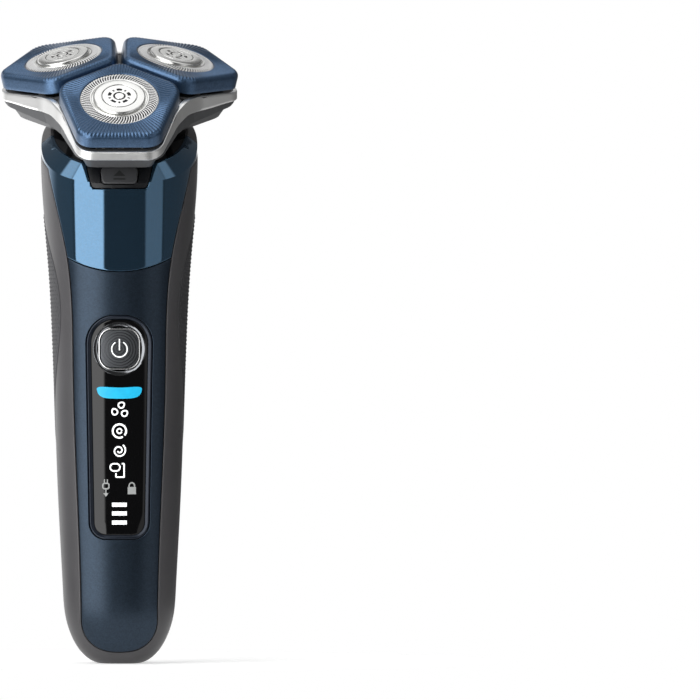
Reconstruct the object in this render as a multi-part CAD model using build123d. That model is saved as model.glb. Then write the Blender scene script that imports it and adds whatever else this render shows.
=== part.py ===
from build123d import *
import math
import os

# Electric shaver with three rotary heads. Millimetres, +Z up, front of the shaver towards -Y.
# The origin is the centre of the small flat foot that the handle stands on.

# ---------------------------------------------------------------- handle outline
FORM_POWER = 2.4            # super-ellipse exponent of the handle's cross-sections
OVAL_POINTS = 24            # points on each cross-section's spline
FOOT_STEPS = 5              # cross-sections in the rounding of the foot
FOOT_HALF_WIDTH = 4.6       # flat foot
FOOT_HALF_DEPTH = 5.0
FOOT_ROUND_HEIGHT = 20.0    # height over which the foot rounds out to the grip
LOW_HALF_WIDTH = 15.6       # where the foot's rounding ends
LOW_FRONT = 12.2
LOW_BACK = 12.6
GRIP_Z = 45.0               # slim part of the grip
GRIP_HALF_WIDTH = 16.9
GRIP_FRONT = 13.6
GRIP_BACK = 14.2
WAIST_Z = 80.0
WAIST_HALF_WIDTH = 18.1
WAIST_FRONT = 15.2
WAIST_BACK = 15.8
FLARE_Z = 112.0
FLARE_HALF_WIDTH = 19.7
FLARE_FRONT = 18.0
FLARE_BACK = 17.6
SHOULDER_Z = 133.4          # widest part
SHOULDER_HALF_WIDTH = 21.5
SHOULDER_FRONT = 22.0
SHOULDER_BACK = 18.8
CROWN_Z = 166.0             # where the uncut form ends, above the collar
CROWN_HALF_WIDTH = 16.5
CROWN_FRONT = 22.5
CROWN_BACK = 18.0
WALL = 1.8                  # housing wall
BAND_DEPTH = 2.4            # how far the sloping band round the collar reaches inwards
SEAM_GAP = 0.12             # gap between neighbouring covers

# ---------------------------------------------------------------- head placement
HEAD_TILT = 26.0            # the head's axis leans forward by this angle
HEAD_Y = -8.0               # centre of the head's top, where the three petal planes meet
HEAD_Z = 167.5
COLLAR_DEPTH = 22.4         # collar face below the head's centre, along the head axis
COLLAR_HALF_WIDTH = 19.0    # rim of the collar face
COLLAR_FRONT = 24.0
COLLAR_BACK = 17.4
COLLAR_SLOPE = 50.0         # slope of the band around the collar

# ---------------------------------------------------------------- front covers
SEAM_TOP_Z = 139.5          # above this the covers wrap round to the sides
SEAM_TOP_HALF = 20.4
SEAM_SHOULDER_HALF = 19.3
SEAM_FLARE_HALF = 14.6
SEAM_WAIST_HALF = 12.9
SEAM_GRIP_HALF = 11.7
SEAM_LOW_HALF = 10.7
SEAM_LOW_Z = 12.0
SEAM_FOOT_Z = 3.0
SIDE_SEAM_Y = -1.0          # vertical seam at the sides above the shoulder
SPLIT_SIDE_Z = 113.0        # lower edge of the gloss cover, at the sides and in the middle
SPLIT_MIDDLE_Z = 107.9

# ---------------------------------------------------------------- grip skin
GRIP_SKIN = 1.0
GRIP_SKIN_FRONT = -10.0     # front edge of the rubber at its widest
GRIP_SKIN_TOP = 124.0
GRIP_SKIN_WIDE_Z = 100.0
GRIP_SKIN_NARROW = -5.0     # front edge where it turns back towards the spine
GRIP_SKIN_NARROW_Z = 78.2
GRIP_SKIN_TAIL = 10.0       # front edge at the bottom
GRIP_SKIN_BOTTOM = 24.0

# ---------------------------------------------------------------- display
WINDOW_TOP_Z = 94.8
WINDOW_BOTTOM_Z = 35.6
WINDOW_TOP_HALF = 8.1
WINDOW_BOTTOM_HALF = 7.0
WINDOW_TOP_RADIUS = 6.2
WINDOW_BOTTOM_RADIUS = 3.4
WINDOW_SINK = 0.35          # glass below the cover's surface
WINDOW_THICKNESS = 1.4
BEZEL_WIDTH = 1.3
BEZEL_SINK = 0.15
BEZEL_THICKNESS = 2.0
BUTTON_Z = 86.8
BUTTON_WIDTH = 11.4
BUTTON_HEIGHT = 11.0
BUTTON_RADIUS = 2.2
BUTTON_THICKNESS = 1.4
BUTTON_TRAVEL = 0.6
RING_WIDTH = 0.45
BUTTON_CLEARANCE = 0.12
BAR_Z = 75.0
BAR_HALF_WIDTH = 6.2
BAR_HEIGHT = 2.3
BAR_SAG = 1.0

# ---------------------------------------------------------------- release button
RELEASE_Z = 134.4
RELEASE_HALF_WIDTH = 5.2
RELEASE_HEIGHT = 4.6
RELEASE_PROUD = 0.5
RELEASE_THICKNESS = 2.0
RELEASE_TRAVEL = 1.0
HOUSING_TOP_HALF = 9.2
HOUSING_BOTTOM_HALF = 7.7
HOUSING_TOP_Z = 137.4
HOUSING_BOTTOM_Z = 130.8
HOUSING_THICKNESS = 2.6
HOUSING_START = -11.0       # the opening for the housing reaches back to here

# ---------------------------------------------------------------- parts inside the handle
SHAFT_JOINT_DEPTH = 28.0    # ball joint between motor shaft and neck spindle, below the head's centre
MOTOR_RADIUS = 9.5
MOTOR_BOTTOM_Z = 106.0
MOTOR_TOP_Z = 134.0
MOTOR_SHAFT_RADIUS = 1.2
MOTOR_BALL_RADIUS = 1.6
MOTOR_BALL_FLAT = 1.35
MOTOR_SOCKET_CLEARANCE = 0.3
NOSE_RADIUS = 3.2
NOSE_HEIGHT = 2.6
BRACKET_THICKNESS = 1.8
BATTERY_RADIUS = 7.0
BATTERY_BOTTOM_Z = 30.0
BATTERY_LENGTH = 50.0
BATTERY_Y = 2.2
BATTERY_CAP_RADIUS = 2.3
BATTERY_CAP_HEIGHT = 1.0
CONTACT_THICKNESS = 0.5
CHASSIS_HALF_WIDTH = 12.2
CHASSIS_THICKNESS = 1.2
CHASSIS_BOTTOM_Z = 27.0
CHASSIS_TOP_Z = 104.0
BOARD_GAP = 1.6             # stand-off height between chassis and board
BOARD_THICKNESS = 1.2
BOARD_HALF_WIDTH = 7.6
POST_RADIUS = 2.0
POST_X = 10.0
POST_LOW_Z = 38.0
POST_HIGH_Z = 96.0
SCREW_RADIUS = 0.9
SCREW_HEAD_RADIUS = 1.7
SCREW_HEAD_HEIGHT = 1.0
SCREW_LENGTH = 6.0
SWITCH_SIZE = 6.0
PLUNGER_RADIUS = 1.2
PLUNGER_GAP = 0.2           # to the power button when it is pressed
INLET_Z = 15.0
INLET_WIDTH = 9.0
INLET_HEIGHT = 6.0
INLET_DEPTH = 9.0
INLET_WALL = 1.0
INLET_FLOOR = 1.6
INLET_CORNER = 2.0
PIN_SPACING = 3.8
PIN_RADIUS = 0.75
PIN_LENGTH = 6.0

# ---------------------------------------------------------------- petals
PETAL_TILT = 14.4           # each petal slopes outwards by this angle
RING_DISTANCE = 18.5        # head centre to cap centre, in the petal's plane
PETAL_GAP = 1.4             # from a petal's wall to the plane half-way to its neighbour
PETAL_HALF_WIDTH = 17.5     # at the side corners
PETAL_LENGTH = 34.3         # outer edge
PETAL_END_HALF = 11.0
PETAL_CORNER_RADIUS = 3.0
PETAL_END_RADIUS = 5.0
PETAL_HEIGHT = 4.6
PETAL_EDGE_ROUND = 1.5
PETAL_SHELL = 1.1           # thickness of the face
PETAL_WALL = 0.9
CAP_RADIUS = 10.7
CAP_CLEARANCE = 0.1
CAP_PROUD = 0.3
CAP_SHEET = 0.5
CAP_FLANGE = 0.6
CAP_FLANGE_HEIGHT = 0.7
TRACK_INNER = 7.6           # inner edge of the slotted track
GROOVE_DEPTH = 0.5
GROOVE_WALL = 0.25
DISC_RADIUS = 7.2
DISC_PROUD = 0.9
BADGE_RADIUS = 4.7
BADGE_SINK = 0.25
BADGE_PROUD = 0.25
CUTTER_RADIUS = 9.8
CUTTER_INNER = 8.1
CUTTER_GAP = 0.35
CUTTER_BLADE_HEIGHT = 1.9
CUTTER_PLATE = 0.9
BLADE_COUNT = 15
SOCKET_RADIUS = 2.6
SOCKET_BOTTOM = 8.2
SOCKET_ROOF = 5.6
BALL_RADIUS = 1.3           # six-sided ball heads of the spindles
BALL_FLAT = 1.1             # centre to flat
SOCKET_CLEARANCE = 0.5
RETAINER_HEIGHT = 1.6
RETAINER_WIDTH = 1.0
COLLAR_WALL = 0.5           # petal's collar around cap and retainer
PIVOT_DEPTH = 3.2           # both flex axes lie this far under the petal's face
GIMBAL_GAP = 0.35
GIMBAL_WIDTH = 0.8
GIMBAL_HEIGHT = 1.6
POST_THICKNESS = 0.8
FLEX_GAP = 0.2
FLEX_PIN_RADIUS = 0.55
FLEX_PIN_CLEARANCE = 0.05
FLEX_POST_HALF = 1.1
FLEX_POST_CROWN = 1.0

# ---------------------------------------------------------------- head frame, gears, hair chamber
FLEX_CLEARANCE = 1.0        # petal wall to frame rim
FRAME_LIP = 0.2             # frame stands out past the petal's wall
FRAME_WALL = 1.2
FLOOR_TOP = -12.6           # heights along the head axis, from the head's centre
FLOOR_THICKNESS = 0.8
FRAME_BOTTOM = -17.2
SPLIT_CLEARANCE = 0.3
GEAR_MODULE = 0.8
PRESSURE_ANGLE = 20.0
DEDENDUM = 1.15             # root depth in modules
FLANK_POINTS = 4
PINION_TEETH = 12
WHEEL_TEETH = 28
GEAR_TOP = -14.2
GEAR_THICKNESS = 2.2
GEAR_BACKLASH = 0.12
GEAR_TIP_CLEARANCE = 0.2
PLATE_THICKNESS = 0.6
PLATE_GAP = 0.1
AXLE_RADIUS = 1.0
RUNNING_FIT = 0.05
STEM_RADIUS = 0.8
STEM_DEPTH = 0.8
HUB_RADIUS = 3.0
HUB_DROP = 1.1
PIVOT_RADIUS = 1.2
FLOOR_HOLE = 4.3
DOG_RADIUS = 1.5
DOG_TOP = -15.9
DOG_CLEARANCE = 0.4
CHAMBER_DEPTH = 3.6
CHAMBER_DRAFT = 22.0        # slope of the bowl's walls, in degrees
CHAMBER_ARM_LENGTH = 10.8
CHAMBER_WALL = 1.0
NECK_RADIUS = 9.0
NECK_WALL = 1.2
NECK_TOP = -18.9
NECK_BOTTOM = -25.0
SOCKET_ROOF_THICKNESS = 0.8
PLATE_SCREW_ORBIT = 15.5    # screws of the gear plate, between the driven gears
PLATE_SCREW_RADIUS = 0.6
PLATE_SCREW_HEAD = 1.1
PLATE_SCREW_HEAD_HEIGHT = 0.3
PLATE_BOSS_RADIUS = 1.5
HINGE_Y = 27.4              # hinge axis behind the head, in the head's own frame
HINGE_RADIUS = 1.7
HINGE_PIN_RADIUS = 0.7
HINGE_HALF_WIDTH = 4.8
HINGE_MIDDLE_HALF = 2.0
HINGE_GAP = 0.2
HINGE_ROOT_Y = 18.0


def direction(angle):
    """Unit vector components at an angle in degrees."""
    return math.cos(math.radians(angle)), math.sin(math.radians(angle))


TILT_COS, TILT_SIN = direction(HEAD_TILT)
PETAL_COS, PETAL_SIN = direction(PETAL_TILT)
HEAD = Plane(origin=(0, HEAD_Y, HEAD_Z), x_dir=(1, 0, 0), z_dir=(0, -TILT_SIN, TILT_COS))
PETALS = {"front": -90.0, "right": 30.0, "left": 150.0}
GEAR_ORBIT = GEAR_MODULE * (PINION_TEETH + WHEEL_TEETH) / 2
BALL_DEPTH = (RING_DISTANCE * PETAL_COS - GEAR_ORBIT) / PETAL_SIN
BALL_HEIGHT = -RING_DISTANCE * PETAL_SIN - BALL_DEPTH * PETAL_COS
MOTOR_Y = HEAD_Y + SHAFT_JOINT_DEPTH * TILT_SIN
SHAFT_JOINT_Z = HEAD_Z - SHAFT_JOINT_DEPTH * TILT_COS
SHELL_BOTTOM = FLOOR_TOP - FLOOR_THICKNESS


def place(plane, shape):
    """Move a shape drawn in a local frame to the object's frame."""
    return plane.location * shape


def drum(radius, bottom, top, x=0.0, y=0.0):
    """Upright cylinder between two heights."""
    return Pos(x, y, bottom) * extrude(Circle(radius), amount=top - bottom)


def block(x_range, y_range, z_range):
    """Box between coordinate ranges."""
    size = [high - low for low, high in (x_range, y_range, z_range)]
    middle = [(high + low) / 2 for low, high in (x_range, y_range, z_range)]
    return Pos(*middle) * Box(*size)


def cross_bar(radius, start, end, y, z):
    """Cylinder along X."""
    return Pos(start, y, z) * Rot(0, 90, 0) * extrude(Circle(radius), amount=end - start)


def depth_bar(radius, x, start, end, z):
    """Cylinder along Y, from the smaller to the larger Y."""
    return Pos(x, start, z) * Rot(-90, 0, 0) * extrude(Circle(radius), amount=end - start)


def oval(half_width, front, back, height):
    """Closed super-ellipse outline, with its own depth to the front and to the back."""
    points = []
    for step in range(OVAL_POINTS):
        c, s = direction(360 * step / OVAL_POINTS)
        x = half_width * math.copysign(abs(c) ** (2 / FORM_POWER), c)
        reach = back if s >= 0 else front
        points.append((x, reach * math.copysign(abs(s) ** (2 / FORM_POWER), s), height))
    return Face(Wire([Spline(*points, periodic=True)]))


# ---------------------------------------------------------------- handle covers
def handle_stations():
    """Height, half width, front depth and back depth of each cross-section, foot to crown."""
    stations = []
    for step in range(FOOT_STEPS):
        c, s = direction(90 * step / FOOT_STEPS)
        stations.append((
            FOOT_ROUND_HEIGHT * (1 - c),
            FOOT_HALF_WIDTH + (LOW_HALF_WIDTH - FOOT_HALF_WIDTH) * s,
            FOOT_HALF_DEPTH + (LOW_FRONT - FOOT_HALF_DEPTH) * s,
            FOOT_HALF_DEPTH + (LOW_BACK - FOOT_HALF_DEPTH) * s,
        ))
    stations.append((FOOT_ROUND_HEIGHT, LOW_HALF_WIDTH, LOW_FRONT, LOW_BACK))
    stations.append((GRIP_Z, GRIP_HALF_WIDTH, GRIP_FRONT, GRIP_BACK))
    stations.append((WAIST_Z, WAIST_HALF_WIDTH, WAIST_FRONT, WAIST_BACK))
    stations.append((FLARE_Z, FLARE_HALF_WIDTH, FLARE_FRONT, FLARE_BACK))
    stations.append((SHOULDER_Z, SHOULDER_HALF_WIDTH, SHOULDER_FRONT, SHOULDER_BACK))
    stations.append((CROWN_Z, CROWN_HALF_WIDTH, CROWN_FRONT, CROWN_BACK))
    return stations


def crown(inset):
    """Cone-like mask that slopes the band round the collar and cuts the collar face."""
    drop = CROWN_Z
    spread = drop * math.tan(math.radians(COLLAR_SLOPE))
    top = -COLLAR_DEPTH - inset
    sizes = (COLLAR_HALF_WIDTH - inset, COLLAR_FRONT - inset, COLLAR_BACK - inset)
    wide = [size + spread for size in sizes]
    return place(HEAD, loft([oval(*wide, top - drop), oval(*sizes, top)], ruled=True))


FORMS = {}


def raw_form(inset, band=0.0):
    """Uncut form of the handle, shrunk by an inset; a band depth thins its front at the shoulder."""
    if (inset, band) not in FORMS:
        sections = []
        for height, half, front, back in handle_stations():
            lift = inset * max(0.0, 1 - height / FOOT_ROUND_HEIGHT)
            extra = band if height >= SHOULDER_Z else 0.0
            sections.append(oval(half - inset, front - inset - extra, back - inset, height + lift))
        FORMS[inset, band] = loft(sections)
    return FORMS[inset, band]


def handle_form(inset):
    """The handle's form, shrunk all round by an inset, from the foot to the collar face."""
    return raw_form(inset) & crown(inset)


def housing_part(body):
    """Hollow out a solid piece of the handle's form and cut it off at the collar."""
    return (body - raw_form(WALL, BAND_DEPTH)) & crown(0.0)


def layer(outer, inner, region):
    """Piece of the handle's skin inside a region, between two insets."""
    return (handle_form(outer) & region) - handle_form(inner)


def front_prism(sketch, start=0.0):
    """Push a front-view outline forwards from a depth."""
    return Pos(0, start, 0) * extrude(Plane.XZ * sketch, amount=4 * SHOULDER_FRONT, dir=(0, -1, 0))


def mirrored_outline(right_side):
    """Closed front-view outline from the points of its right side, bottom to top."""
    left_side = [(-x, z) for x, z in reversed(right_side)]
    return Polygon(*right_side, *left_side, align=None)


def cover_outline(inset):
    """Front view of both front covers: narrow on the grip, wrapping round at the top."""
    seam = [
        (SEAM_LOW_HALF - inset, SEAM_LOW_Z),
        (SEAM_GRIP_HALF - inset, GRIP_Z),
        (SEAM_WAIST_HALF - inset, WAIST_Z),
        (SEAM_FLARE_HALF - inset, FLARE_Z),
        (SEAM_SHOULDER_HALF - inset, SHOULDER_Z),
        (SEAM_TOP_HALF - inset, SEAM_TOP_Z + inset),
    ]
    mirror_seam = [(-x, z) for x, z in reversed(seam)]
    far = 2 * SHOULDER_HALF_WIDTH
    top = [seam[-1], (far, seam[-1][1]), (far, CROWN_Z), (-far, CROWN_Z), (-far, seam[-1][1]), mirror_seam[0]]
    foot = (0, SEAM_FOOT_Z + inset)
    edges = [
        Spline(*seam),
        Polyline(*top),
        Spline(*mirror_seam),
        Spline(mirror_seam[-1], foot, seam[0], tangents=((0, -1), (0, 1))),
    ]
    return make_face(edges)


def gloss_area(rise):
    """Front view of everything above the curved split between the two front covers."""
    half = SEAM_FLARE_HALF + WALL
    far = 2 * SHOULDER_HALF_WIDTH
    side = SPLIT_SIDE_Z + rise
    edges = [
        ThreePointArc((-half, side), (0, SPLIT_MIDDLE_Z + rise), (half, side)),
        Polyline((half, side), (far, side), (far, CROWN_Z), (-far, CROWN_Z), (-far, side), (-half, side)),
    ]
    return make_face(edges)


def collar_recess(gap):
    """Space of the collar plate, widened by a gap."""
    sizes = (COLLAR_HALF_WIDTH - WALL / 2 + gap, COLLAR_FRONT - WALL / 2 + gap, COLLAR_BACK - WALL / 2 + gap)
    bottom = -COLLAR_DEPTH - WALL - gap
    return place(HEAD, extrude(oval(*sizes, bottom), amount=2 * WALL + gap, dir=(0, 0, 1)))


def window_outline(grow):
    """Front view of the display glass, grown all round."""
    half_top = WINDOW_TOP_HALF + grow
    half_bottom = WINDOW_BOTTOM_HALF + grow
    outline = mirrored_outline([(half_bottom, WINDOW_BOTTOM_Z - grow), (half_top, WINDOW_TOP_Z + grow)])
    lower = outline.vertices().sort_by(Axis.Y)[:2]
    outline = fillet(lower, WINDOW_BOTTOM_RADIUS + grow)
    upper = outline.vertices().sort_by(Axis.Y)[-2:]
    return fillet(upper, WINDOW_TOP_RADIUS + grow)


def button_outline(grow):
    """Front view of the power button, grown all round."""
    face = RectangleRounded(BUTTON_WIDTH + 2 * grow, BUTTON_HEIGHT + 2 * grow, BUTTON_RADIUS + grow)
    return Pos(0, BUTTON_Z) * face


def bar_outline(grow):
    """Front view of the curved light bar, grown all round."""
    half = BAR_HALF_WIDTH + grow
    top = BAR_Z + BAR_HEIGHT / 2 + grow
    bottom = BAR_Z - BAR_HEIGHT / 2 - grow
    edges = [
        ThreePointArc((-half, top), (0, top - BAR_SAG), (half, top)),
        Line((half, top), (half, bottom)),
        ThreePointArc((half, bottom), (0, bottom - BAR_SAG), (-half, bottom)),
        Line((-half, bottom), (-half, top)),
    ]
    return make_face(edges)


def release_outline(grow):
    """Front view of the release button."""
    return Pos(0, RELEASE_Z) * Rectangle(2 * (RELEASE_HALF_WIDTH + grow), RELEASE_HEIGHT + 2 * grow)


def housing_outline(grow):
    """Front view of the black housing round the release button."""
    return mirrored_outline([
        (HOUSING_BOTTOM_HALF + grow, HOUSING_BOTTOM_Z - grow),
        (HOUSING_TOP_HALF + grow, HOUSING_TOP_Z + grow),
    ])


def grip_area():
    """Side view of the rubber grip skin, pushed through the handle."""
    far = 2 * SHOULDER_BACK
    front = Spline(
        (0, GRIP_SKIN_TOP),
        (GRIP_SKIN_FRONT, GRIP_SKIN_WIDE_Z),
        (GRIP_SKIN_NARROW, GRIP_SKIN_NARROW_Z),
        (GRIP_SKIN_TAIL, GRIP_SKIN_BOTTOM),
    )
    back = Polyline(
        (GRIP_SKIN_TAIL, GRIP_SKIN_BOTTOM),
        (far, GRIP_SKIN_BOTTOM),
        (far, GRIP_SKIN_TOP),
        (0, GRIP_SKIN_TOP),
    )
    side = Plane.YZ * make_face([front, back])
    return extrude(side, amount=far, both=True)


def inlet_space(grow):
    """Rounded block of the charging inlet, from inside the handle out through the back."""
    face = RectangleRounded(INLET_WIDTH + 2 * grow, INLET_HEIGHT + 2 * grow, INLET_CORNER)
    depth = INLET_DEPTH + 2 * WALL
    return Pos(0, LOW_BACK - INLET_DEPTH, INLET_Z) * Rot(-90, 0, 0) * extrude(face, amount=depth)


def chassis_front():
    """Depth of the chassis plate's front face."""
    return BATTERY_Y - BATTERY_RADIUS - SEAM_GAP - CHASSIS_THICKNESS


def post_places():
    """The four places where the chassis is screwed to the rear shell."""
    return [(side * POST_X, height) for side in (-1, 1) for height in (POST_LOW_Z, POST_HIGH_Z)]


def rear_shell():
    """Grey half-shell with its foot, screw posts and the opening for the charging inlet."""
    body = housing_part(raw_form(0.0) - front_prism(cover_outline(0.0), SIDE_SEAM_Y))
    body -= layer(-GRIP_SKIN, GRIP_SKIN, grip_area())
    body -= collar_recess(SEAM_GAP)
    back = chassis_front() + CHASSIS_THICKNESS
    for x, z in post_places():
        post = depth_bar(POST_RADIUS, x, back, SHOULDER_BACK, z) & handle_form(WALL / 2)
        body += post
        body -= depth_bar(SCREW_RADIUS, x, back, back + SCREW_LENGTH, z)
    return body - inlet_space(SEAM_GAP)


def rear_grip():
    """Rubber skin that wraps round the back of the grip."""
    region = grip_area() - front_prism(cover_outline(0.0), SIDE_SEAM_Y)
    return layer(-SEAM_GAP, GRIP_SKIN - RUNNING_FIT, region)


def front_skin():
    """Both front covers in one layer."""
    body = raw_form(0.0) & front_prism(cover_outline(SEAM_GAP), SIDE_SEAM_Y - SEAM_GAP)
    return housing_part(body) - collar_recess(SEAM_GAP)


def lower_cover():
    """Satin front cover with the opening of the display bezel."""
    cover = front_skin() - front_prism(gloss_area(0.0))
    return cover - front_prism(window_outline(BEZEL_WIDTH + SEAM_GAP))


def upper_cover():
    """Gloss front cover with the opening of the release housing."""
    cover = front_skin() & front_prism(gloss_area(SEAM_GAP), SIDE_SEAM_Y)
    return cover - front_prism(housing_outline(SEAM_GAP), HOUSING_START)


def window_bezel():
    """Frame round the display glass."""
    region = front_prism(window_outline(BEZEL_WIDTH)) - front_prism(window_outline(SEAM_GAP))
    return layer(BEZEL_SINK, BEZEL_THICKNESS, region)


def display_window():
    """Display glass with openings for the button ring and the light bar."""
    region = front_prism(window_outline(0.0))
    region -= front_prism(button_outline(RING_WIDTH + BUTTON_CLEARANCE + SEAM_GAP))
    region -= front_prism(bar_outline(SEAM_GAP / 2))
    return layer(WINDOW_SINK, WINDOW_SINK + WINDOW_THICKNESS, region)


def indicator_bar():
    """Light guide of the curved indicator."""
    return layer(WINDOW_SINK - SEAM_GAP / 2, WINDOW_SINK + WINDOW_THICKNESS, front_prism(bar_outline(0.0)))


def button_ring():
    """Thin bright ring round the power button."""
    region = front_prism(button_outline(RING_WIDTH + BUTTON_CLEARANCE))
    region -= front_prism(button_outline(BUTTON_CLEARANCE))
    return layer(WINDOW_SINK - SEAM_GAP, WINDOW_SINK + WINDOW_THICKNESS, region)


def power_button():
    """Power button, free to move in its ring."""
    return layer(WINDOW_SINK, WINDOW_SINK + BUTTON_THICKNESS, front_prism(button_outline(0.0)))


def release_housing():
    """Black housing in the sloping band, with a hole for the release button."""
    region = front_prism(housing_outline(0.0), HOUSING_START)
    region -= front_prism(release_outline(BUTTON_CLEARANCE))
    return layer(0.0, HOUSING_THICKNESS, region) - collar_recess(SEAM_GAP)


def release_button():
    """Release button that stands a little proud of its housing."""
    return layer(-RELEASE_PROUD, RELEASE_THICKNESS, front_prism(release_outline(0.0), HOUSING_START))


def top_collar():
    """Black plate that closes the handle under the head."""
    plate = collar_recess(0.0) & handle_form(0.0)
    plate -= place(HEAD, drum(NECK_RADIUS + SEAM_GAP, NECK_BOTTOM, 0))
    return plate - front_prism(housing_outline(SEAM_GAP), HOUSING_START - RELEASE_TRAVEL)


# ---------------------------------------------------------------- parts inside the handle
def inner_chassis():
    """Plate that carries the battery and the board, screwed to the rear shell's posts."""
    front = chassis_front()
    back = front + CHASSIS_THICKNESS
    plate = block((-CHASSIS_HALF_WIDTH, CHASSIS_HALF_WIDTH), (front, back), (CHASSIS_BOTTOM_Z, CHASSIS_TOP_Z))
    for x, z in post_places():
        plate += depth_bar(POST_RADIUS, x, front, back, z)
    for z in (POST_LOW_Z, POST_HIGH_Z):
        plate += depth_bar(POST_RADIUS, 0, front - BOARD_GAP, front, z)
    for x, z in post_places():
        plate -= depth_bar(SCREW_RADIUS, x, front, back, z)
    return plate


def chassis_screws():
    """Screws from the front through the chassis into the shell's posts."""
    front = chassis_front()
    screws = []
    for x, z in post_places():
        shank = depth_bar(SCREW_RADIUS, x, front, front + CHASSIS_THICKNESS + SCREW_LENGTH, z)
        screws.append(shank + depth_bar(SCREW_HEAD_RADIUS, x, front - SCREW_HEAD_HEIGHT, front, z))
    return Compound(children=screws)


def main_board():
    """Circuit board behind the display."""
    back = chassis_front() - BOARD_GAP
    return block(
        (-BOARD_HALF_WIDTH, BOARD_HALF_WIDTH), (back - BOARD_THICKNESS, back), (CHASSIS_BOTTOM_Z, CHASSIS_TOP_Z)
    )


def power_switch():
    """Push switch on the board; its plunger ends just behind the pressed button."""
    board = chassis_front() - BOARD_GAP - BOARD_THICKNESS
    half = SWITCH_SIZE / 2
    depth_at_button = handle_depth_at(BUTTON_Z) - WINDOW_SINK - BUTTON_THICKNESS
    tip = -depth_at_button + BUTTON_TRAVEL + PLUNGER_GAP
    body_front = (board + tip) / 2
    body = block((-half, half), (body_front, board), (BUTTON_Z - half, BUTTON_Z + half))
    return body + depth_bar(PLUNGER_RADIUS, 0, tip, body_front, BUTTON_Z)


def handle_depth_at(height):
    """Front depth of the handle's form on its middle line."""
    heights = (height - RUNNING_FIT, height + RUNNING_FIT)
    probe = block((-RUNNING_FIT, RUNNING_FIT), (-2 * SHOULDER_FRONT, 0), heights)
    return -(handle_form(0.0) & probe).bounding_box().min.Y


def battery_cell():
    """Round lithium cell with its stepped end cap."""
    top = BATTERY_BOTTOM_Z + BATTERY_LENGTH
    cell = drum(BATTERY_RADIUS, BATTERY_BOTTOM_Z, top, y=BATTERY_Y)
    return cell + drum(BATTERY_CAP_RADIUS, top, top + BATTERY_CAP_HEIGHT, y=BATTERY_Y)


def battery_contacts():
    """Contact strips at both ends of the cell, bent over the chassis plate."""
    top = BATTERY_BOTTOM_Z + BATTERY_LENGTH + BATTERY_CAP_HEIGHT
    half = BATTERY_CAP_RADIUS
    sheet = CONTACT_THICKNESS
    back = chassis_front() + CHASSIS_THICKNESS
    upper = block((-half, half), (back, BATTERY_Y + half), (top, top + sheet))
    lower = block((-half, half), (back, BATTERY_Y + half), (BATTERY_BOTTOM_Z - sheet, BATTERY_BOTTOM_Z))
    return Compound(children=[upper, lower])


def motor_can():
    """Steel can of the motor with its bearing nose."""
    can = drum(MOTOR_RADIUS, MOTOR_BOTTOM_Z, MOTOR_TOP_Z, y=MOTOR_Y)
    can += drum(NOSE_RADIUS, MOTOR_TOP_Z, MOTOR_TOP_Z + NOSE_HEIGHT, y=MOTOR_Y)
    bore = MOTOR_SHAFT_RADIUS + RUNNING_FIT
    return can - drum(bore, MOTOR_TOP_Z - MOTOR_RADIUS, MOTOR_TOP_Z + NOSE_HEIGHT, y=MOTOR_Y)


def motor_rotor():
    """Motor shaft that ends in a ball inside the neck spindle."""
    shaft = drum(MOTOR_SHAFT_RADIUS, MOTOR_TOP_Z - MOTOR_RADIUS + RUNNING_FIT, SHAFT_JOINT_Z, y=MOTOR_Y)
    return shaft + Pos(0, MOTOR_Y, SHAFT_JOINT_Z) * ball_head(MOTOR_BALL_RADIUS, MOTOR_BALL_FLAT)


def motor_bracket():
    """Cross plate that holds the motor's nose and reaches the handle's walls."""
    far = 2 * SHOULDER_HALF_WIDTH
    bottom = MOTOR_TOP_Z
    plate = block((-far, far), (-far, far), (bottom, bottom + BRACKET_THICKNESS))
    plate &= raw_form(WALL + SEAM_GAP, BAND_DEPTH)
    plate -= front_prism(housing_outline(WALL), HOUSING_START)
    plate -= block((-far, far), (-far, HOUSING_START), (bottom, bottom + BRACKET_THICKNESS))
    return plate - drum(NOSE_RADIUS + RUNNING_FIT, bottom, bottom + BRACKET_THICKNESS, y=MOTOR_Y)


def charging_inlet():
    """Socket of the charging inlet, flush with the handle's back."""
    body = inlet_space(0.0) & handle_form(SEAM_GAP)
    inner = RectangleRounded(
        INLET_WIDTH - 2 * INLET_WALL, INLET_HEIGHT - 2 * INLET_WALL, INLET_CORNER - SEAM_GAP
    )
    start = LOW_BACK - INLET_DEPTH + INLET_FLOOR
    return body - Pos(0, start, INLET_Z) * Rot(-90, 0, 0) * extrude(inner, amount=2 * INLET_DEPTH)


def charging_pins():
    """Two contact pins in the inlet."""
    start = LOW_BACK - INLET_DEPTH + INLET_FLOOR
    pins = [
        depth_bar(PIN_RADIUS, side * PIN_SPACING / 2, start, start + PIN_LENGTH - INLET_WALL, INLET_Z)
        for side in (-1, 1)
    ]
    return Compound(children=pins)


def neck_boss():
    """Round boss that the hair chamber clicks onto, with the bearing of the neck spindle."""
    boss = drum(NECK_RADIUS, NECK_BOTTOM, NECK_TOP)
    boss -= drum(DOG_RADIUS + RUNNING_FIT, NECK_BOTTOM, NECK_TOP)
    return place(HEAD, boss)


def hexagon_bar(flat, bottom, top, x=0.0, y=0.0):
    """Six-sided bar, sized from its centre to a flat, between two heights."""
    corner = flat / math.cos(math.radians(30))
    return Pos(x, y, bottom) * extrude(RegularPolygon(corner, 6), amount=top - bottom)


def ball_head(radius, flat):
    """Ball with six flats, centred on the origin."""
    return Sphere(radius) & hexagon_bar(flat, -radius, radius)


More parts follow.
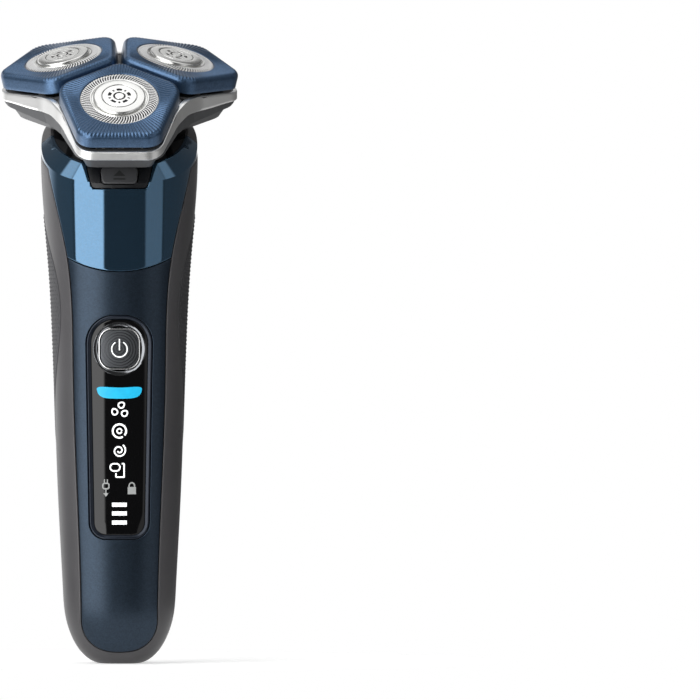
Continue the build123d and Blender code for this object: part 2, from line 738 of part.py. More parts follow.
def neck_spindle():
    """Spindle in the neck: a six-sided socket round the motor's ball, a six-sided dog on top."""
    shoulder = NECK_BOTTOM - SPLIT_CLEARANCE
    low = -SHAFT_JOINT_DEPTH - MOTOR_BALL_RADIUS
    roof = -SHAFT_JOINT_DEPTH + MOTOR_BALL_RADIUS + MOTOR_SOCKET_CLEARANCE
    spindle = drum(SOCKET_RADIUS, -SHAFT_JOINT_DEPTH - MOTOR_BALL_RADIUS / 2, shoulder)
    spindle -= hexagon_bar(MOTOR_BALL_FLAT + MOTOR_SOCKET_CLEARANCE, low, roof)
    spindle += drum(DOG_RADIUS, shoulder, NECK_TOP)
    spindle += hexagon_bar(DOG_RADIUS * math.cos(math.radians(30)), NECK_TOP, DOG_TOP)
    return place(HEAD, spindle)


# ---------------------------------------------------------------- petals and caps
def petal_location(angle):
    """Local frame of one petal: X outwards along its slope, Z square to its face."""
    c, s = direction(angle)
    plane = Plane(
        origin=(0, 0, 0),
        x_dir=(PETAL_COS * c, PETAL_COS * s, -PETAL_SIN),
        z_dir=(PETAL_SIN * c, PETAL_SIN * s, PETAL_COS),
    )
    return HEAD.location * plane.location


def petal_outline(inset):
    """Five-sided plan of a petal's wall, shrunk by an inset."""
    half_angle_cos, half_angle_sin = direction(60)
    reach = PETAL_COS * half_angle_sin
    corner = (PETAL_GAP + half_angle_cos * PETAL_HALF_WIDTH) / reach
    plan = Polygon(
        (PETAL_GAP / reach, 0),
        (corner, -PETAL_HALF_WIDTH),
        (PETAL_LENGTH, -PETAL_END_HALF),
        (PETAL_LENGTH, PETAL_END_HALF),
        (corner, PETAL_HALF_WIDTH),
        align=None,
    )
    by_reach = plan.vertices().sort_by(Axis.X)
    plan = fillet(by_reach[:3], PETAL_CORNER_RADIUS)
    outer = [v for v in plan.vertices() if abs(v.X - PETAL_LENGTH) < 1e-6]
    plan = fillet(outer, PETAL_END_RADIUS)
    return offset(plan, -inset) if inset else plan


def petal_prism(inset, bottom, top):
    """Petal plan pushed between two heights of the petal's frame."""
    return Pos(0, 0, bottom) * extrude(petal_outline(inset), amount=top - bottom)


def cap_drum(radius, bottom, top):
    """Cylinder on the cap's axis, in the petal's frame."""
    return drum(radius, bottom, top, x=RING_DISTANCE)


def cap_pipe(inner, outer, bottom, top):
    """Tube on the cap's axis, in the petal's frame."""
    return cap_drum(outer, bottom, top) - cap_drum(inner, bottom, top)


COLLAR_INNER = CAP_RADIUS + CAP_FLANGE + RUNNING_FIT
COLLAR_OUTER = COLLAR_INNER + COLLAR_WALL
COLLAR_BOTTOM = -PETAL_SHELL - CAP_FLANGE_HEIGHT - RETAINER_HEIGHT
GIMBAL_OUTER = COLLAR_OUTER + GIMBAL_GAP + GIMBAL_WIDTH
POST_INNER = GIMBAL_OUTER + FLEX_GAP
POST_OUTER = POST_INNER + POST_THICKNESS


def petal():
    """Blue head holder: rounded shell with a hole and collar for the cap and two pin bosses."""
    outer = petal_prism(0.0, -PETAL_HEIGHT, 0.0)
    outer = fillet(outer.edges().group_by(Axis.Z)[-1], PETAL_EDGE_ROUND)
    shell = outer - petal_prism(PETAL_WALL, -PETAL_HEIGHT, -PETAL_SHELL)
    shell += cap_pipe(COLLAR_INNER, COLLAR_OUTER, COLLAR_BOTTOM, -PETAL_SHELL)
    depth = (-PIVOT_DEPTH - FLEX_POST_CROWN, -PETAL_SHELL)
    sides = (-FLEX_POST_HALF, FLEX_POST_HALF)
    inner_boss = block((RING_DISTANCE - POST_OUTER, RING_DISTANCE - POST_INNER), sides, depth)
    outer_boss = block((RING_DISTANCE + POST_INNER, PETAL_LENGTH - PETAL_WALL / 2), sides, depth)
    shell += inner_boss + outer_boss
    pin_space = cross_bar(
        FLEX_PIN_RADIUS + FLEX_PIN_CLEARANCE,
        RING_DISTANCE - POST_OUTER,
        RING_DISTANCE + POST_OUTER,
        0,
        -PIVOT_DEPTH,
    )
    shell -= pin_space - cap_drum(COLLAR_OUTER + GIMBAL_GAP, -PETAL_HEIGHT, 0)
    return shell - cap_drum(CAP_RADIUS + CAP_CLEARANCE, -PETAL_SHELL, 0)


def slotted_cap():
    """Steel cap: flange, slotted track, groove and raised disc, in one revolved sheet."""
    track_under = CAP_PROUD - CAP_SHEET
    groove_floor = track_under - GROOVE_DEPTH
    disc_top = CAP_PROUD + DISC_PROUD
    disc_under = disc_top - CAP_SHEET
    flange_bottom = -PETAL_SHELL - CAP_FLANGE_HEIGHT
    seat = disc_top - BADGE_SINK
    profile = Polygon(
        (0, disc_under),
        (0, seat),
        (BADGE_RADIUS + RUNNING_FIT, seat),
        (BADGE_RADIUS + RUNNING_FIT, disc_top),
        (DISC_RADIUS, disc_top),
        (DISC_RADIUS, track_under),
        (TRACK_INNER, track_under),
        (TRACK_INNER, CAP_PROUD),
        (CAP_RADIUS, CAP_PROUD),
        (CAP_RADIUS, -PETAL_SHELL),
        (CAP_RADIUS + CAP_FLANGE, -PETAL_SHELL),
        (CAP_RADIUS + CAP_FLANGE, flange_bottom),
        (CAP_RADIUS - CAP_SHEET, flange_bottom),
        (CAP_RADIUS - CAP_SHEET, track_under),
        (TRACK_INNER + GROOVE_WALL, track_under),
        (TRACK_INNER + GROOVE_WALL, groove_floor),
        (DISC_RADIUS - CAP_SHEET, groove_floor),
        (DISC_RADIUS - CAP_SHEET, disc_under),
        align=None,
    )
    return Pos(RING_DISTANCE, 0, 0) * revolve(Plane.XZ * profile, Axis.Z)


def cap_badge():
    """Raised disc in the middle of the cap."""
    top = CAP_PROUD + DISC_PROUD
    return cap_drum(BADGE_RADIUS, top - BADGE_SINK, top + BADGE_PROUD)


def retaining_ring():
    """Ring that holds the cap in the petal from below."""
    return cap_pipe(CAP_RADIUS + CAP_FLANGE - RETAINER_WIDTH, CAP_RADIUS + CAP_FLANGE, COLLAR_BOTTOM,
                    COLLAR_BOTTOM + RETAINER_HEIGHT)


def rotary_cutter():
    """Cutter: upright blades on a plate, with a six-sided socket for the spindle's ball."""
    blade_top = CAP_PROUD - CAP_SHEET - CUTTER_GAP
    plate_top = blade_top - CUTTER_BLADE_HEIGHT
    plate_bottom = plate_top - CUTTER_PLATE
    cutter = cap_drum(CUTTER_RADIUS, plate_bottom, plate_top)
    cutter += cap_drum(SOCKET_RADIUS, -SOCKET_BOTTOM, plate_top)
    cutter -= hexagon_bar(BALL_FLAT + SOCKET_CLEARANCE, -SOCKET_BOTTOM, -SOCKET_ROOF, x=RING_DISTANCE)
    reach = (CUTTER_INNER, CUTTER_RADIUS - CUTTER_GAP)
    blade = block(reach, (-CUTTER_GAP, CUTTER_GAP), (plate_top - CUTTER_GAP, blade_top))
    for step in range(BLADE_COUNT):
        cutter += Pos(RING_DISTANCE, 0, 0) * Rot(0, 0, 360 * step / BLADE_COUNT) * blade
    return cutter


def gimbal_ring():
    """Ring with two pin pairs, so that the petal can tilt both ways on the head frame."""
    low = -PIVOT_DEPTH - GIMBAL_HEIGHT / 2
    ring = cap_pipe(COLLAR_OUTER + GIMBAL_GAP, GIMBAL_OUTER, low, low + GIMBAL_HEIGHT)
    reach = POST_OUTER - FLEX_PIN_CLEARANCE
    along = cross_bar(FLEX_PIN_RADIUS, RING_DISTANCE - reach, RING_DISTANCE + reach, 0, -PIVOT_DEPTH)
    across = depth_bar(FLEX_PIN_RADIUS, RING_DISTANCE, -reach, reach, -PIVOT_DEPTH)
    middle = cap_drum(COLLAR_OUTER + GIMBAL_GAP, low, low + GIMBAL_HEIGHT)
    return ring + (along + across - middle)


# ---------------------------------------------------------------- head frame and gears
def frame_arms(inset, top):
    """Three petal-shaped arms running down along the petals' own axes, shrunk by an inset."""
    arms = [petal_location(angle) * petal_prism(inset, 2 * FRAME_BOTTOM, top) for angle in PETALS.values()]
    return arms[0] + arms[1] + arms[2]


def head_slab(bottom, top):
    """Wide slab between two heights of the head's frame."""
    far = 2 * PETAL_LENGTH
    return place(HEAD, block((-far, far), (-far, far), (bottom, top)))


def gear_places():
    """Centres of the driven gears in the head's frame."""
    return [tuple(GEAR_ORBIT * value for value in direction(angle)) for angle in PETALS.values()]


def screw_places():
    """Centres of the gear plate's screws, half-way between the driven gears."""
    return [tuple(PLATE_SCREW_ORBIT * value for value in direction(angle + 180)) for angle in PETALS.values()]


def hinge_arms(half_inner, half_outer, low, high, root):
    """Tongues that reach back from the head to its hinge axis."""
    arm = block((half_inner, half_outer), (root, HINGE_Y), (low, high))
    return arm + cross_bar(HINGE_RADIUS, half_inner, half_outer, HINGE_Y, hinge_height())


def hinge_height():
    """Height of the hinge axis: the split between head frame and hair chamber."""
    return FRAME_BOTTOM - SPLIT_CLEARANCE / 2


def head_frame():
    """Silver frame: three cups under the petals, gear-case floor, gimbal posts, hinge knuckles."""
    top = -PETAL_HEIGHT - FLEX_CLEARANCE
    frame = frame_arms(-FRAME_LIP, top) & head_slab(FRAME_BOTTOM, 0)
    hollow = frame_arms(FRAME_WALL - FRAME_LIP, 0)
    frame -= hollow & head_slab(FLOOR_TOP, PETAL_LENGTH)
    frame -= hollow & head_slab(2 * FRAME_BOTTOM, SHELL_BOTTOM)
    post = block(
        (RING_DISTANCE - FLEX_POST_HALF, RING_DISTANCE + FLEX_POST_HALF),
        (POST_INNER, POST_OUTER),
        (FRAME_BOTTOM, -PIVOT_DEPTH + FLEX_POST_CROWN),
    )
    posts = post + mirror(post, Plane.XZ)
    posts -= depth_bar(
        FLEX_PIN_RADIUS + FLEX_PIN_CLEARANCE, RING_DISTANCE, -POST_OUTER, POST_OUTER, -PIVOT_DEPTH
    )
    for angle in PETALS.values():
        frame += (petal_location(angle) * posts) & head_slab(FLOOR_TOP, 0)
    for x, y in gear_places():
        frame -= place(HEAD, drum(FLOOR_HOLE, SHELL_BOTTOM, FLOOR_TOP, x, y))
    frame -= place(HEAD, drum(PIVOT_RADIUS + RUNNING_FIT, SHELL_BOTTOM, FLOOR_TOP))
    for x, y in screw_places():
        frame += place(HEAD, drum(PLATE_BOSS_RADIUS, plate_top(), SHELL_BOTTOM, x, y))
        frame -= place(HEAD, drum(PLATE_SCREW_RADIUS, plate_top(), SHELL_BOTTOM, x, y))
    inner = HINGE_MIDDLE_HALF + HINGE_GAP
    arm = hinge_arms(inner, HINGE_HALF_WIDTH, FRAME_BOTTOM, FRAME_BOTTOM + 2 * FRAME_WALL, HINGE_ROOT_Y)
    arms = arm + mirror(arm, Plane.YZ)
    arms -= cross_bar(HINGE_PIN_RADIUS, -HINGE_HALF_WIDTH, HINGE_HALF_WIDTH, HINGE_Y, hinge_height())
    return frame + place(HEAD, arms)


def gear_face(teeth, phase):
    """Gear outline with straight-sided facets along each involute flank."""
    pitch = GEAR_MODULE * teeth / 2
    slope = math.radians(PRESSURE_ANGLE)
    base = pitch * math.cos(slope)
    root = pitch - DEDENDUM * GEAR_MODULE
    tip = pitch + GEAR_MODULE - GEAR_TIP_CLEARANCE
    half_tooth = math.pi / 2 / teeth - GEAR_BACKLASH / pitch
    roll = math.tan(slope) - slope
    flank = []
    for step in range(FLANK_POINTS):
        radius = base + (tip - base) * step / (FLANK_POINTS - 1)
        pressure = math.acos(base / radius)
        flank.append((radius, half_tooth + roll - (math.tan(pressure) - pressure)))
    if root < base:
        flank.insert(0, (root, flank[0][1]))
    points = []
    for tooth in range(teeth):
        middle = math.radians(phase) + 2 * math.pi * tooth / teeth
        points += [(r * math.cos(middle - a), r * math.sin(middle - a)) for r, a in flank]
        points += [(r * math.cos(middle + a), r * math.sin(middle + a)) for r, a in reversed(flank)]
    return Polygon(*points, align=None)


def plate_top():
    """Top of the gear plate, just under the gears."""
    return GEAR_TOP - GEAR_THICKNESS - PLATE_GAP


def central_gear():
    """Pinion with a pivot above and a six-sided hub below that drops onto the neck's dog."""
    bottom = GEAR_TOP - GEAR_THICKNESS
    hub_bottom = bottom - HUB_DROP
    teeth = extrude(gear_face(PINION_TEETH, PETALS["front"]), amount=GEAR_THICKNESS, dir=(0, 0, 1))
    gear = Pos(0, 0, bottom) * teeth
    gear += drum(HUB_RADIUS, hub_bottom, bottom)
    gear += drum(PIVOT_RADIUS, GEAR_TOP, FLOOR_TOP)
    flat = DOG_RADIUS * math.cos(math.radians(30)) + DOG_CLEARANCE
    return place(HEAD, gear - hexagon_bar(flat, hub_bottom, DOG_TOP + DOG_CLEARANCE))


def driven_gear(angle):
    """Driven gear on its axle, with a blind hole for the spindle's stem."""
    bottom = GEAR_TOP - GEAR_THICKNESS
    half_step = 180 / WHEEL_TEETH
    gear = extrude(gear_face(WHEEL_TEETH, angle + 180 + half_step), amount=GEAR_THICKNESS, dir=(0, 0, 1))
    gear = Pos(0, 0, bottom) * gear
    gear -= drum(AXLE_RADIUS + RUNNING_FIT, bottom, GEAR_TOP - STEM_DEPTH - AXLE_RADIUS / 4)
    gear -= drum(STEM_RADIUS, GEAR_TOP - STEM_DEPTH, GEAR_TOP)
    c, s = direction(angle)
    return place(HEAD, Pos(GEAR_ORBIT * c, GEAR_ORBIT * s, 0) * gear)


def drive_spindle(angle):
    """Stem with a six-sided ball that drives the cutter at any tilt."""
    c, s = direction(angle)
    stem = drum(STEM_RADIUS, GEAR_TOP - STEM_DEPTH, BALL_HEIGHT)
    spindle = stem + Pos(0, 0, BALL_HEIGHT) * ball_head(BALL_RADIUS, BALL_FLAT)
    return place(HEAD, Pos(GEAR_ORBIT * c, GEAR_ORBIT * s, 0) * spindle)


def gear_plate():
    """Plate that closes the gear case from below and carries the gears' axles."""
    top = plate_top()
    plate = frame_arms(FRAME_WALL - FRAME_LIP + PLATE_GAP, 0) & head_slab(top - PLATE_THICKNESS, top)
    plate -= place(HEAD, drum(HUB_RADIUS + RUNNING_FIT, top - PLATE_THICKNESS, top))
    room = HINGE_HALF_WIDTH + PLATE_GAP
    hinge_room = block((-room, room), (HINGE_ROOT_Y - PLATE_GAP, HINGE_Y), (top - FRAME_WALL, top))
    plate -= place(HEAD, hinge_room)
    axle_top = GEAR_TOP - STEM_DEPTH - AXLE_RADIUS / 4 - RUNNING_FIT
    for x, y in gear_places():
        plate += place(HEAD, drum(AXLE_RADIUS, top - PLATE_THICKNESS, axle_top, x, y))
    for x, y in screw_places():
        plate -= place(HEAD, drum(PLATE_SCREW_RADIUS, top - PLATE_THICKNESS, top, x, y))
    return plate


def plate_screws():
    """Screws that hold the gear plate to the head frame."""
    low = plate_top() - PLATE_THICKNESS
    screws = []
    for x, y in screw_places():
        shank = drum(PLATE_SCREW_RADIUS, low, SHELL_BOTTOM, x, y)
        screws.append(place(HEAD, shank + drum(PLATE_SCREW_HEAD, low - PLATE_SCREW_HEAD_HEIGHT, low, x, y)))
    return Compound(children=screws)


def chamber_arms(inset):
    """Three arms like the frame's that taper inwards on their way down."""
    start = -PETAL_HEIGHT - CHAMBER_DEPTH
    arms = []
    for angle in PETALS.values():
        arm = extrude(petal_outline(CHAMBER_WALL / 2 + inset), amount=-CHAMBER_ARM_LENGTH, taper=CHAMBER_DRAFT)
        arms.append(petal_location(angle) * Pos(0, 0, start) * arm)
    return arms[0] + arms[1] + arms[2]


def hair_chamber():
    """Dark bowl under the head that clicks onto the neck and catches the hair."""
    top = FRAME_BOTTOM - SPLIT_CLEARANCE
    bottom = top - CHAMBER_DEPTH
    chamber = chamber_arms(0.0) & head_slab(bottom, top)
    chamber -= chamber_arms(CHAMBER_WALL) & head_slab(bottom + CHAMBER_WALL, top)
    roof = NECK_TOP + RUNNING_FIT
    chamber += place(HEAD, drum(NECK_RADIUS + RUNNING_FIT + NECK_WALL, -COLLAR_DEPTH + HINGE_GAP,
                                roof + SOCKET_ROOF_THICKNESS))
    chamber -= place(HEAD, drum(NECK_RADIUS + RUNNING_FIT, -COLLAR_DEPTH, roof))
    chamber -= place(HEAD, drum(DOG_RADIUS + DOG_CLEARANCE, roof, top))
    arm = hinge_arms(0.0, HINGE_MIDDLE_HALF, top - 2 * FRAME_WALL, top, HINGE_ROOT_Y - 2 * FRAME_WALL)
    arm -= cross_bar(HINGE_PIN_RADIUS + RUNNING_FIT, 0, HINGE_MIDDLE_HALF, HINGE_Y, hinge_height())
    return chamber + place(HEAD, arm + mirror(arm, Plane.YZ))


def hinge_pin():
    """Steel pin of the head's hinge."""
    pin = cross_bar(HINGE_PIN_RADIUS, -HINGE_HALF_WIDTH, HINGE_HALF_WIDTH, HINGE_Y, hinge_height())
    return place(HEAD, pin)


# ---------------------------------------------------------------- export
SINGLE_PARTS = {
    "rear_shell": rear_shell,
    "rear_grip": rear_grip,
    "lower_cover": lower_cover,
    "upper_cover": upper_cover,
    "top_collar": top_collar,
    "window_bezel": window_bezel,
    "display_window": display_window,
    "indicator_bar": indicator_bar,
    "button_ring": button_ring,
    "power_button": power_button,
    "release_housing": release_housing,
    "release_button": release_button,
    "inner_chassis": inner_chassis,
    "chassis_screws": chassis_screws,
    "main_board": main_board,
    "power_switch": power_switch,
    "battery_cell": battery_cell,
    "battery_contacts": battery_contacts,
    "motor_can": motor_can,
    "motor_rotor": motor_rotor,
    "motor_bracket": motor_bracket,
    "charging_inlet": charging_inlet,
    "charging_pins": charging_pins,
    "neck_boss": neck_boss,
    "neck_spindle": neck_spindle,
    "hair_chamber": hair_chamber,
    "hinge_pin": hinge_pin,
    "head_frame": head_frame,
    "gear_plate": gear_plate,
    "plate_screws": plate_screws,
    "central_gear": central_gear,
}
PETAL_PARTS = {
    "petal": petal,
    "slotted_cap": slotted_cap,
    "cap_badge": cap_badge,
    "retaining_ring": retaining_ring,
    "rotary_cutter": rotary_cutter,
    "gimbal_ring": gimbal_ring,
}
DRIVE_PARTS = {"driven_gear": driven_gear, "drive_spindle": drive_spindle}

os.makedirs("parts", exist_ok=True)
for name, build in SINGLE_PARTS.items():
    export_step(build(), f"parts/{name}.step")
for name, build in PETAL_PARTS.items():
    piece = build()
    for side, angle in PETALS.items():
        export_step(petal_location(angle) * piece, f"parts/{name}_{side}.step")
for name, build in DRIVE_PARTS.items():
    for side, angle in PETALS.items():
        export_step(build(angle), f"parts/{name}_{side}.step")
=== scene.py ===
# %% [markdown]
# # An electric shaver with three rotary heads
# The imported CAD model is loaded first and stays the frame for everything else: its bodies move, its
# nodes say where each part is. Everything made below rides on one of those bodies. Sizes are written in
# millimetres and become Blender's metres only when a mesh is made.

# %% Load the frame
import math

import bmesh
import bpy
import mathutils
import numpy as np
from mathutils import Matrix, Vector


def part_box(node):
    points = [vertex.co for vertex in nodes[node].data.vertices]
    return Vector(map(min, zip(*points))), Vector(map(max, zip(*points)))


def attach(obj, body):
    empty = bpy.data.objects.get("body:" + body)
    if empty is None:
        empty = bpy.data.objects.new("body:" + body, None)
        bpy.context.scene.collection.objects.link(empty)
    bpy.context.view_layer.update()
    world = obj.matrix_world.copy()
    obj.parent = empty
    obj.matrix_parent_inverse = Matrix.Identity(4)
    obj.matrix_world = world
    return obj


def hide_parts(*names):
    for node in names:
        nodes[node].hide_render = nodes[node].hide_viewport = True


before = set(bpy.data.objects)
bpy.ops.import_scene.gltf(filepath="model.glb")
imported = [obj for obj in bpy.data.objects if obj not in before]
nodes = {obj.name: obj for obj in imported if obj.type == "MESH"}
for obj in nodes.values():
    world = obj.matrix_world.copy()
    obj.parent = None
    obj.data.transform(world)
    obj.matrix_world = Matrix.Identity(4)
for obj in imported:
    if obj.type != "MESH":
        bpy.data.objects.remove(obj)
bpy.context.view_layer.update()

MM = 0.001

# %% [markdown]
# ## Camera
# A tall, slim product is shown from far away with a very long lens, level with the middle of the handle,
# so that its sides stay upright and its head isn't seen from below. The camera is turned a little to the
# right, which leaves the shaver at the left and room for text beside it.

# %% Camera
VIEW_DISTANCE = 3600.0
VIEW_HEIGHT = 86.5
AIM_RIGHT = 63.7
SENSOR_WIDTH = 36.0
FIELD_WIDTH = 193.4

camera_data = bpy.data.cameras.new("studio_camera")
camera = bpy.data.objects.new("studio_camera", camera_data)
bpy.context.scene.collection.objects.link(camera)
bpy.context.scene.camera = camera
camera.location = (0.0, -VIEW_DISTANCE * MM, VIEW_HEIGHT * MM)
camera.rotation_euler = (math.radians(90), 0.0, -math.atan2(AIM_RIGHT, VIEW_DISTANCE))
camera_data.sensor_width = SENSOR_WIDTH
camera_data.lens = SENSOR_WIDTH * math.hypot(VIEW_DISTANCE, AIM_RIGHT) / FIELD_WIDTH
camera_data.clip_start = 0.01
bpy.context.scene.view_settings.view_transform = "Standard"
print("lens:", round(camera_data.lens, 1), "mm")

# %% [markdown]
# ## Colours and nodes
# Finishes are written as sRGB hex values, as a paint chart gives them, and one function turns them into
# the linear values that Blender mixes. A second one adds any node, with its settings and its links.

# %% Helpers for materials
def hex_colour(code):
    """Linear colour from an sRGB hex value."""
    parts = [int(code[i:i + 2], 16) / 255 for i in (1, 3, 5)]
    linear = [c / 12.92 if c <= 0.04045 else ((c + 0.055) / 1.055) ** 2.4 for c in parts]
    return (*linear, 1.0)


def add(tree, kind, inputs=None, **settings):
    """Add a node; an input is a value, or another node's output that gets linked to it."""
    made = tree.nodes.new(kind)
    for name, value in settings.items():
        setattr(made, name, value)
    for name, value in (inputs or {}).items():
        if isinstance(value, bpy.types.NodeSocket):
            tree.links.new(value, made.inputs[name])
        else:
            made.inputs[name].default_value = value
    return made


def per_mm(size):
    """Texture scale for a pattern whose features are this many millimetres across."""
    return 1 / (size * MM)


def new_finish(name, **sockets):
    """Empty material with a Principled shader; returns material, tree, shader and object coordinates."""
    material = bpy.data.materials.new(name)
    material.use_nodes = True
    tree = material.node_tree
    tree.nodes.clear()
    shader = add(tree, "ShaderNodeBsdfPrincipled")
    for socket, value in sockets.items():
        shader.inputs[socket.replace("_", " ")].default_value = value
    out = add(tree, "ShaderNodeOutputMaterial", {"Surface": shader.outputs["BSDF"]})
    out.location = (400, 0)
    coords = add(tree, "ShaderNodeTexCoord").outputs["Object"]
    return material, tree, shader, coords


def vary_colour(tree, shader, amount, dark, light):
    """Let the base colour move between two tones with a 0-1 pattern."""
    mix = add(tree, "ShaderNodeMix", {"Factor": amount}, data_type="RGBA")
    mix.inputs[6].default_value = hex_colour(dark)
    mix.inputs[7].default_value = hex_colour(light)
    tree.links.new(mix.outputs[2], shader.inputs["Base Color"])


def vary_roughness(tree, shader, amount, low, high):
    """Let the roughness move between two values with a 0-1 pattern."""
    spread = add(tree, "ShaderNodeMapRange", {"Value": amount, "To Min": low, "To Max": high})
    tree.links.new(spread.outputs["Result"], shader.inputs["Roughness"])


def emboss(tree, shader, height, depth, strength=1.0):
    """Raise the surface by a 0-1 pattern, depth in millimetres."""
    bump = add(tree, "ShaderNodeBump", {"Height": height, "Distance": depth * MM, "Strength": strength})
    tree.links.new(bump.outputs["Normal"], shader.inputs["Normal"])

# %% [markdown]
# ## Finishes: moulded plastics
# The shell, the bowl under the head and most inner parts are moulded ABS; the grip is a soft rubber that
# is moulded over it. The mould is spark-eroded, which leaves a fine, even grain and a soft highlight. One
# flat colour would look like clay, so the colour drifts between two near tones, and a fine noise moves
# both the roughness and the surface.

# %% Plastics
CLOUD_SIZE = 14.0


def moulded_plastic(name, dark, light, roughness, grain_mm, depth):
    """Moulded ABS: even colour, fine spark-eroded grain, soft highlight."""
    material, tree, shader, coords = new_finish(name, IOR=1.5)
    grain = add(tree, "ShaderNodeTexNoise", {"Vector": coords, "Scale": per_mm(grain_mm), "Detail": 3.0})
    cloud = add(tree, "ShaderNodeTexNoise", {"Vector": coords, "Scale": per_mm(CLOUD_SIZE), "Detail": 2.0})
    vary_colour(tree, shader, cloud.outputs["Fac"], dark, light)
    vary_roughness(tree, shader, grain.outputs["Fac"], roughness - 0.07, roughness + 0.07)
    emboss(tree, shader, grain.outputs["Fac"], depth)
    return material


shell_plastic = moulded_plastic("warm grey moulded ABS", "#454446", "#504f51", 0.40, 0.45, 0.012)
grip_rubber = moulded_plastic("dark grey thermoplastic rubber", "#39393b", "#454548", 0.62, 0.30, 0.030)
dark_plastic = moulded_plastic("dark grey moulded ABS", "#3a3b3d", "#434446", 0.38, 0.35, 0.012)
bowl_plastic = moulded_plastic("graphite moulded ABS", "#47484a", "#525355", 0.42, 0.40, 0.012)
inner_plastic = moulded_plastic("black glass-filled nylon", "#141416", "#202023", 0.55, 0.50, 0.020)
gear_plastic = moulded_plastic("white acetal", "#d9d8d2", "#e6e5df", 0.35, 0.60, 0.008)
print("plastics done")

# %% [markdown]
# ## Finishes: gloss plastics
# The collar, the display window and the housing of the release button are polished black plastic. They
# have hardly a colour of their own: what is seen is the room in them. A clear coat gives the mirror, and a
# faint haze, left by polishing, keeps it from being perfect.

# %% Gloss plastics
def gloss_plastic(name, colour, roughness, coat=0.6):
    """High-gloss black ABS: a mirror over a dark base, with faint polishing haze."""
    material, tree, shader, coords = new_finish(name, IOR=1.46, Coat_Weight=coat, Coat_Roughness=0.03)
    shader.inputs["Base Color"].default_value = hex_colour(colour)
    haze = add(tree, "ShaderNodeTexNoise", {"Vector": coords, "Scale": per_mm(3.0), "Detail": 4.0})
    vary_roughness(tree, shader, haze.outputs["Fac"], roughness * 0.7, roughness * 1.5)
    return material


collar_gloss = gloss_plastic("piano black ABS", "#0a0a0c", 0.10)
display_glass = gloss_plastic("smoked polycarbonate", "#050506", 0.05, 0.0)
housing_gloss = gloss_plastic("satin black ABS", "#0b0d11", 0.34, 0.0)
print("gloss plastics done")

# %% [markdown]
# ## Finishes: metallic paints
# Covers and petals are lacquered: aluminium flakes in tinted paint, under a clear coat. Such paint is
# bright where it mirrors the light and dark where it turns away, which a Metallic value gives by itself.
# Real flakes are under 0.1 mm. They are drawn at 0.3 mm so that they just show, as the cells of a Voronoi
# texture, each with its own tone and tilt.

# %% Metallic paints
FLAKE_SIZE = 0.3


def metallic_paint(name, dark, light, metallic, roughness, coat, coat_roughness, flake):
    """Aluminium flakes in tinted paint under a clear coat; flakes tilt the surface a little."""
    material, tree, shader, coords = new_finish(
        name, Metallic=metallic, Coat_Weight=coat, Coat_Roughness=coat_roughness, Coat_IOR=1.5)
    flakes = add(tree, "ShaderNodeTexVoronoi", {"Vector": coords, "Scale": per_mm(FLAKE_SIZE)})
    tone = add(tree, "ShaderNodeSeparateColor", {"Color": flakes.outputs["Color"]})
    vary_colour(tree, shader, tone.outputs["Red"], dark, light)
    vary_roughness(tree, shader, tone.outputs["Green"], roughness - flake, roughness + flake)
    emboss(tree, shader, tone.outputs["Blue"], FLAKE_SIZE * flake / 10)
    return material


petal_paint = metallic_paint("satin blue metallic lacquer", "#3f5875", "#4d6888",
                             0.86, 0.34, 0.25, 0.20, 0.05)
cover_paint = metallic_paint("satin navy metallic lacquer", "#28333f", "#2e3b49",
                             0.85, 0.34, 0.15, 0.25, 0.03)
gloss_paint = metallic_paint("deep gloss navy lacquer", "#3a607c", "#3e6583",
                             0.92, 0.05, 1.0, 0.02, 0.01)
# navy lacquer of the bezel, darkened as painted shade of the groove round the window
groove_shaded_bezel_paint = metallic_paint("navy bezel lacquer darkened as painted groove shade", "#141c28", "#19222f",
                             0.60, 0.36, 0.2, 0.10, 0.02)
print("paints done")

# %% [markdown]
# ## Finishes: metals
# Caps, badges and cutters are turned or stamped steel, the band round the head is plated and satin, the
# charging pins are nickel. They differ only in colour, in roughness and in how fine the marks of the tool
# are, so one recipe makes them all. The band is brushed along its run, and its noise is stretched level.

# %% Metals
def turned_metal(name, colour, roughness, ring_mm, depth, streak_axis=None):
    """Machined metal with fine marks along the cut; the default IOR stays."""
    material, tree, shader, coords = new_finish(name, Metallic=1.0)
    shader.inputs["Base Color"].default_value = hex_colour(colour)
    stretched = add(tree, "ShaderNodeMapping", {"Vector": coords})
    stretched.inputs["Scale"].default_value = streak_axis or (1.0, 1.0, 1.0)
    marks = add(tree, "ShaderNodeTexNoise",
                {"Vector": stretched.outputs["Vector"], "Scale": per_mm(ring_mm), "Detail": 3.0})
    vary_roughness(tree, shader, marks.outputs["Fac"], roughness * 0.75, roughness * 1.3)
    emboss(tree, shader, marks.outputs["Fac"], depth)
    return material


cap_steel = turned_metal("turned stainless steel", "#e8e8e6", 0.24, 0.5, 0.004)
badge_steel = turned_metal("stamped stainless steel", "#efefed", 0.20, 0.7, 0.003)
# the cutters are real steel; their dark tone is painted shade, so that they look dark under the slots
shade_darkened_cutter_steel = turned_metal("cutter steel darkened as painted shade", "#6e7072", 0.35, 0.5, 0.004)
frame_silver = turned_metal("satin silver plated frame", "#f0f0ef", 0.36, 0.25, 0.004, (0.06, 0.06, 1.0))
dark_chrome = turned_metal("polished dark chrome", "#7b7d80", 0.12, 0.8, 0.001)
bright_chrome = turned_metal("bright chrome plate", "#f0f0f0", 0.08, 0.8, 0.001)
plain_steel = turned_metal("ground steel", "#b7b8ba", 0.30, 0.4, 0.004)
motor_steel = turned_metal("rolled steel can", "#9c9ea1", 0.38, 0.8, 0.006)
nickel = turned_metal("nickel plate", "#c9c4b6", 0.25, 0.5, 0.003)
print("metals done")

# %% [markdown]
# ## Finishes: spun metal, light guides, board and cell
# The power button is spun: its marks are rings round its own middle, so the light turns into a bow-tie
# shape. The rings are drawn with a wave texture centred on the button. The light guides glow only a
# little, because they have to look lit and still keep their colour.

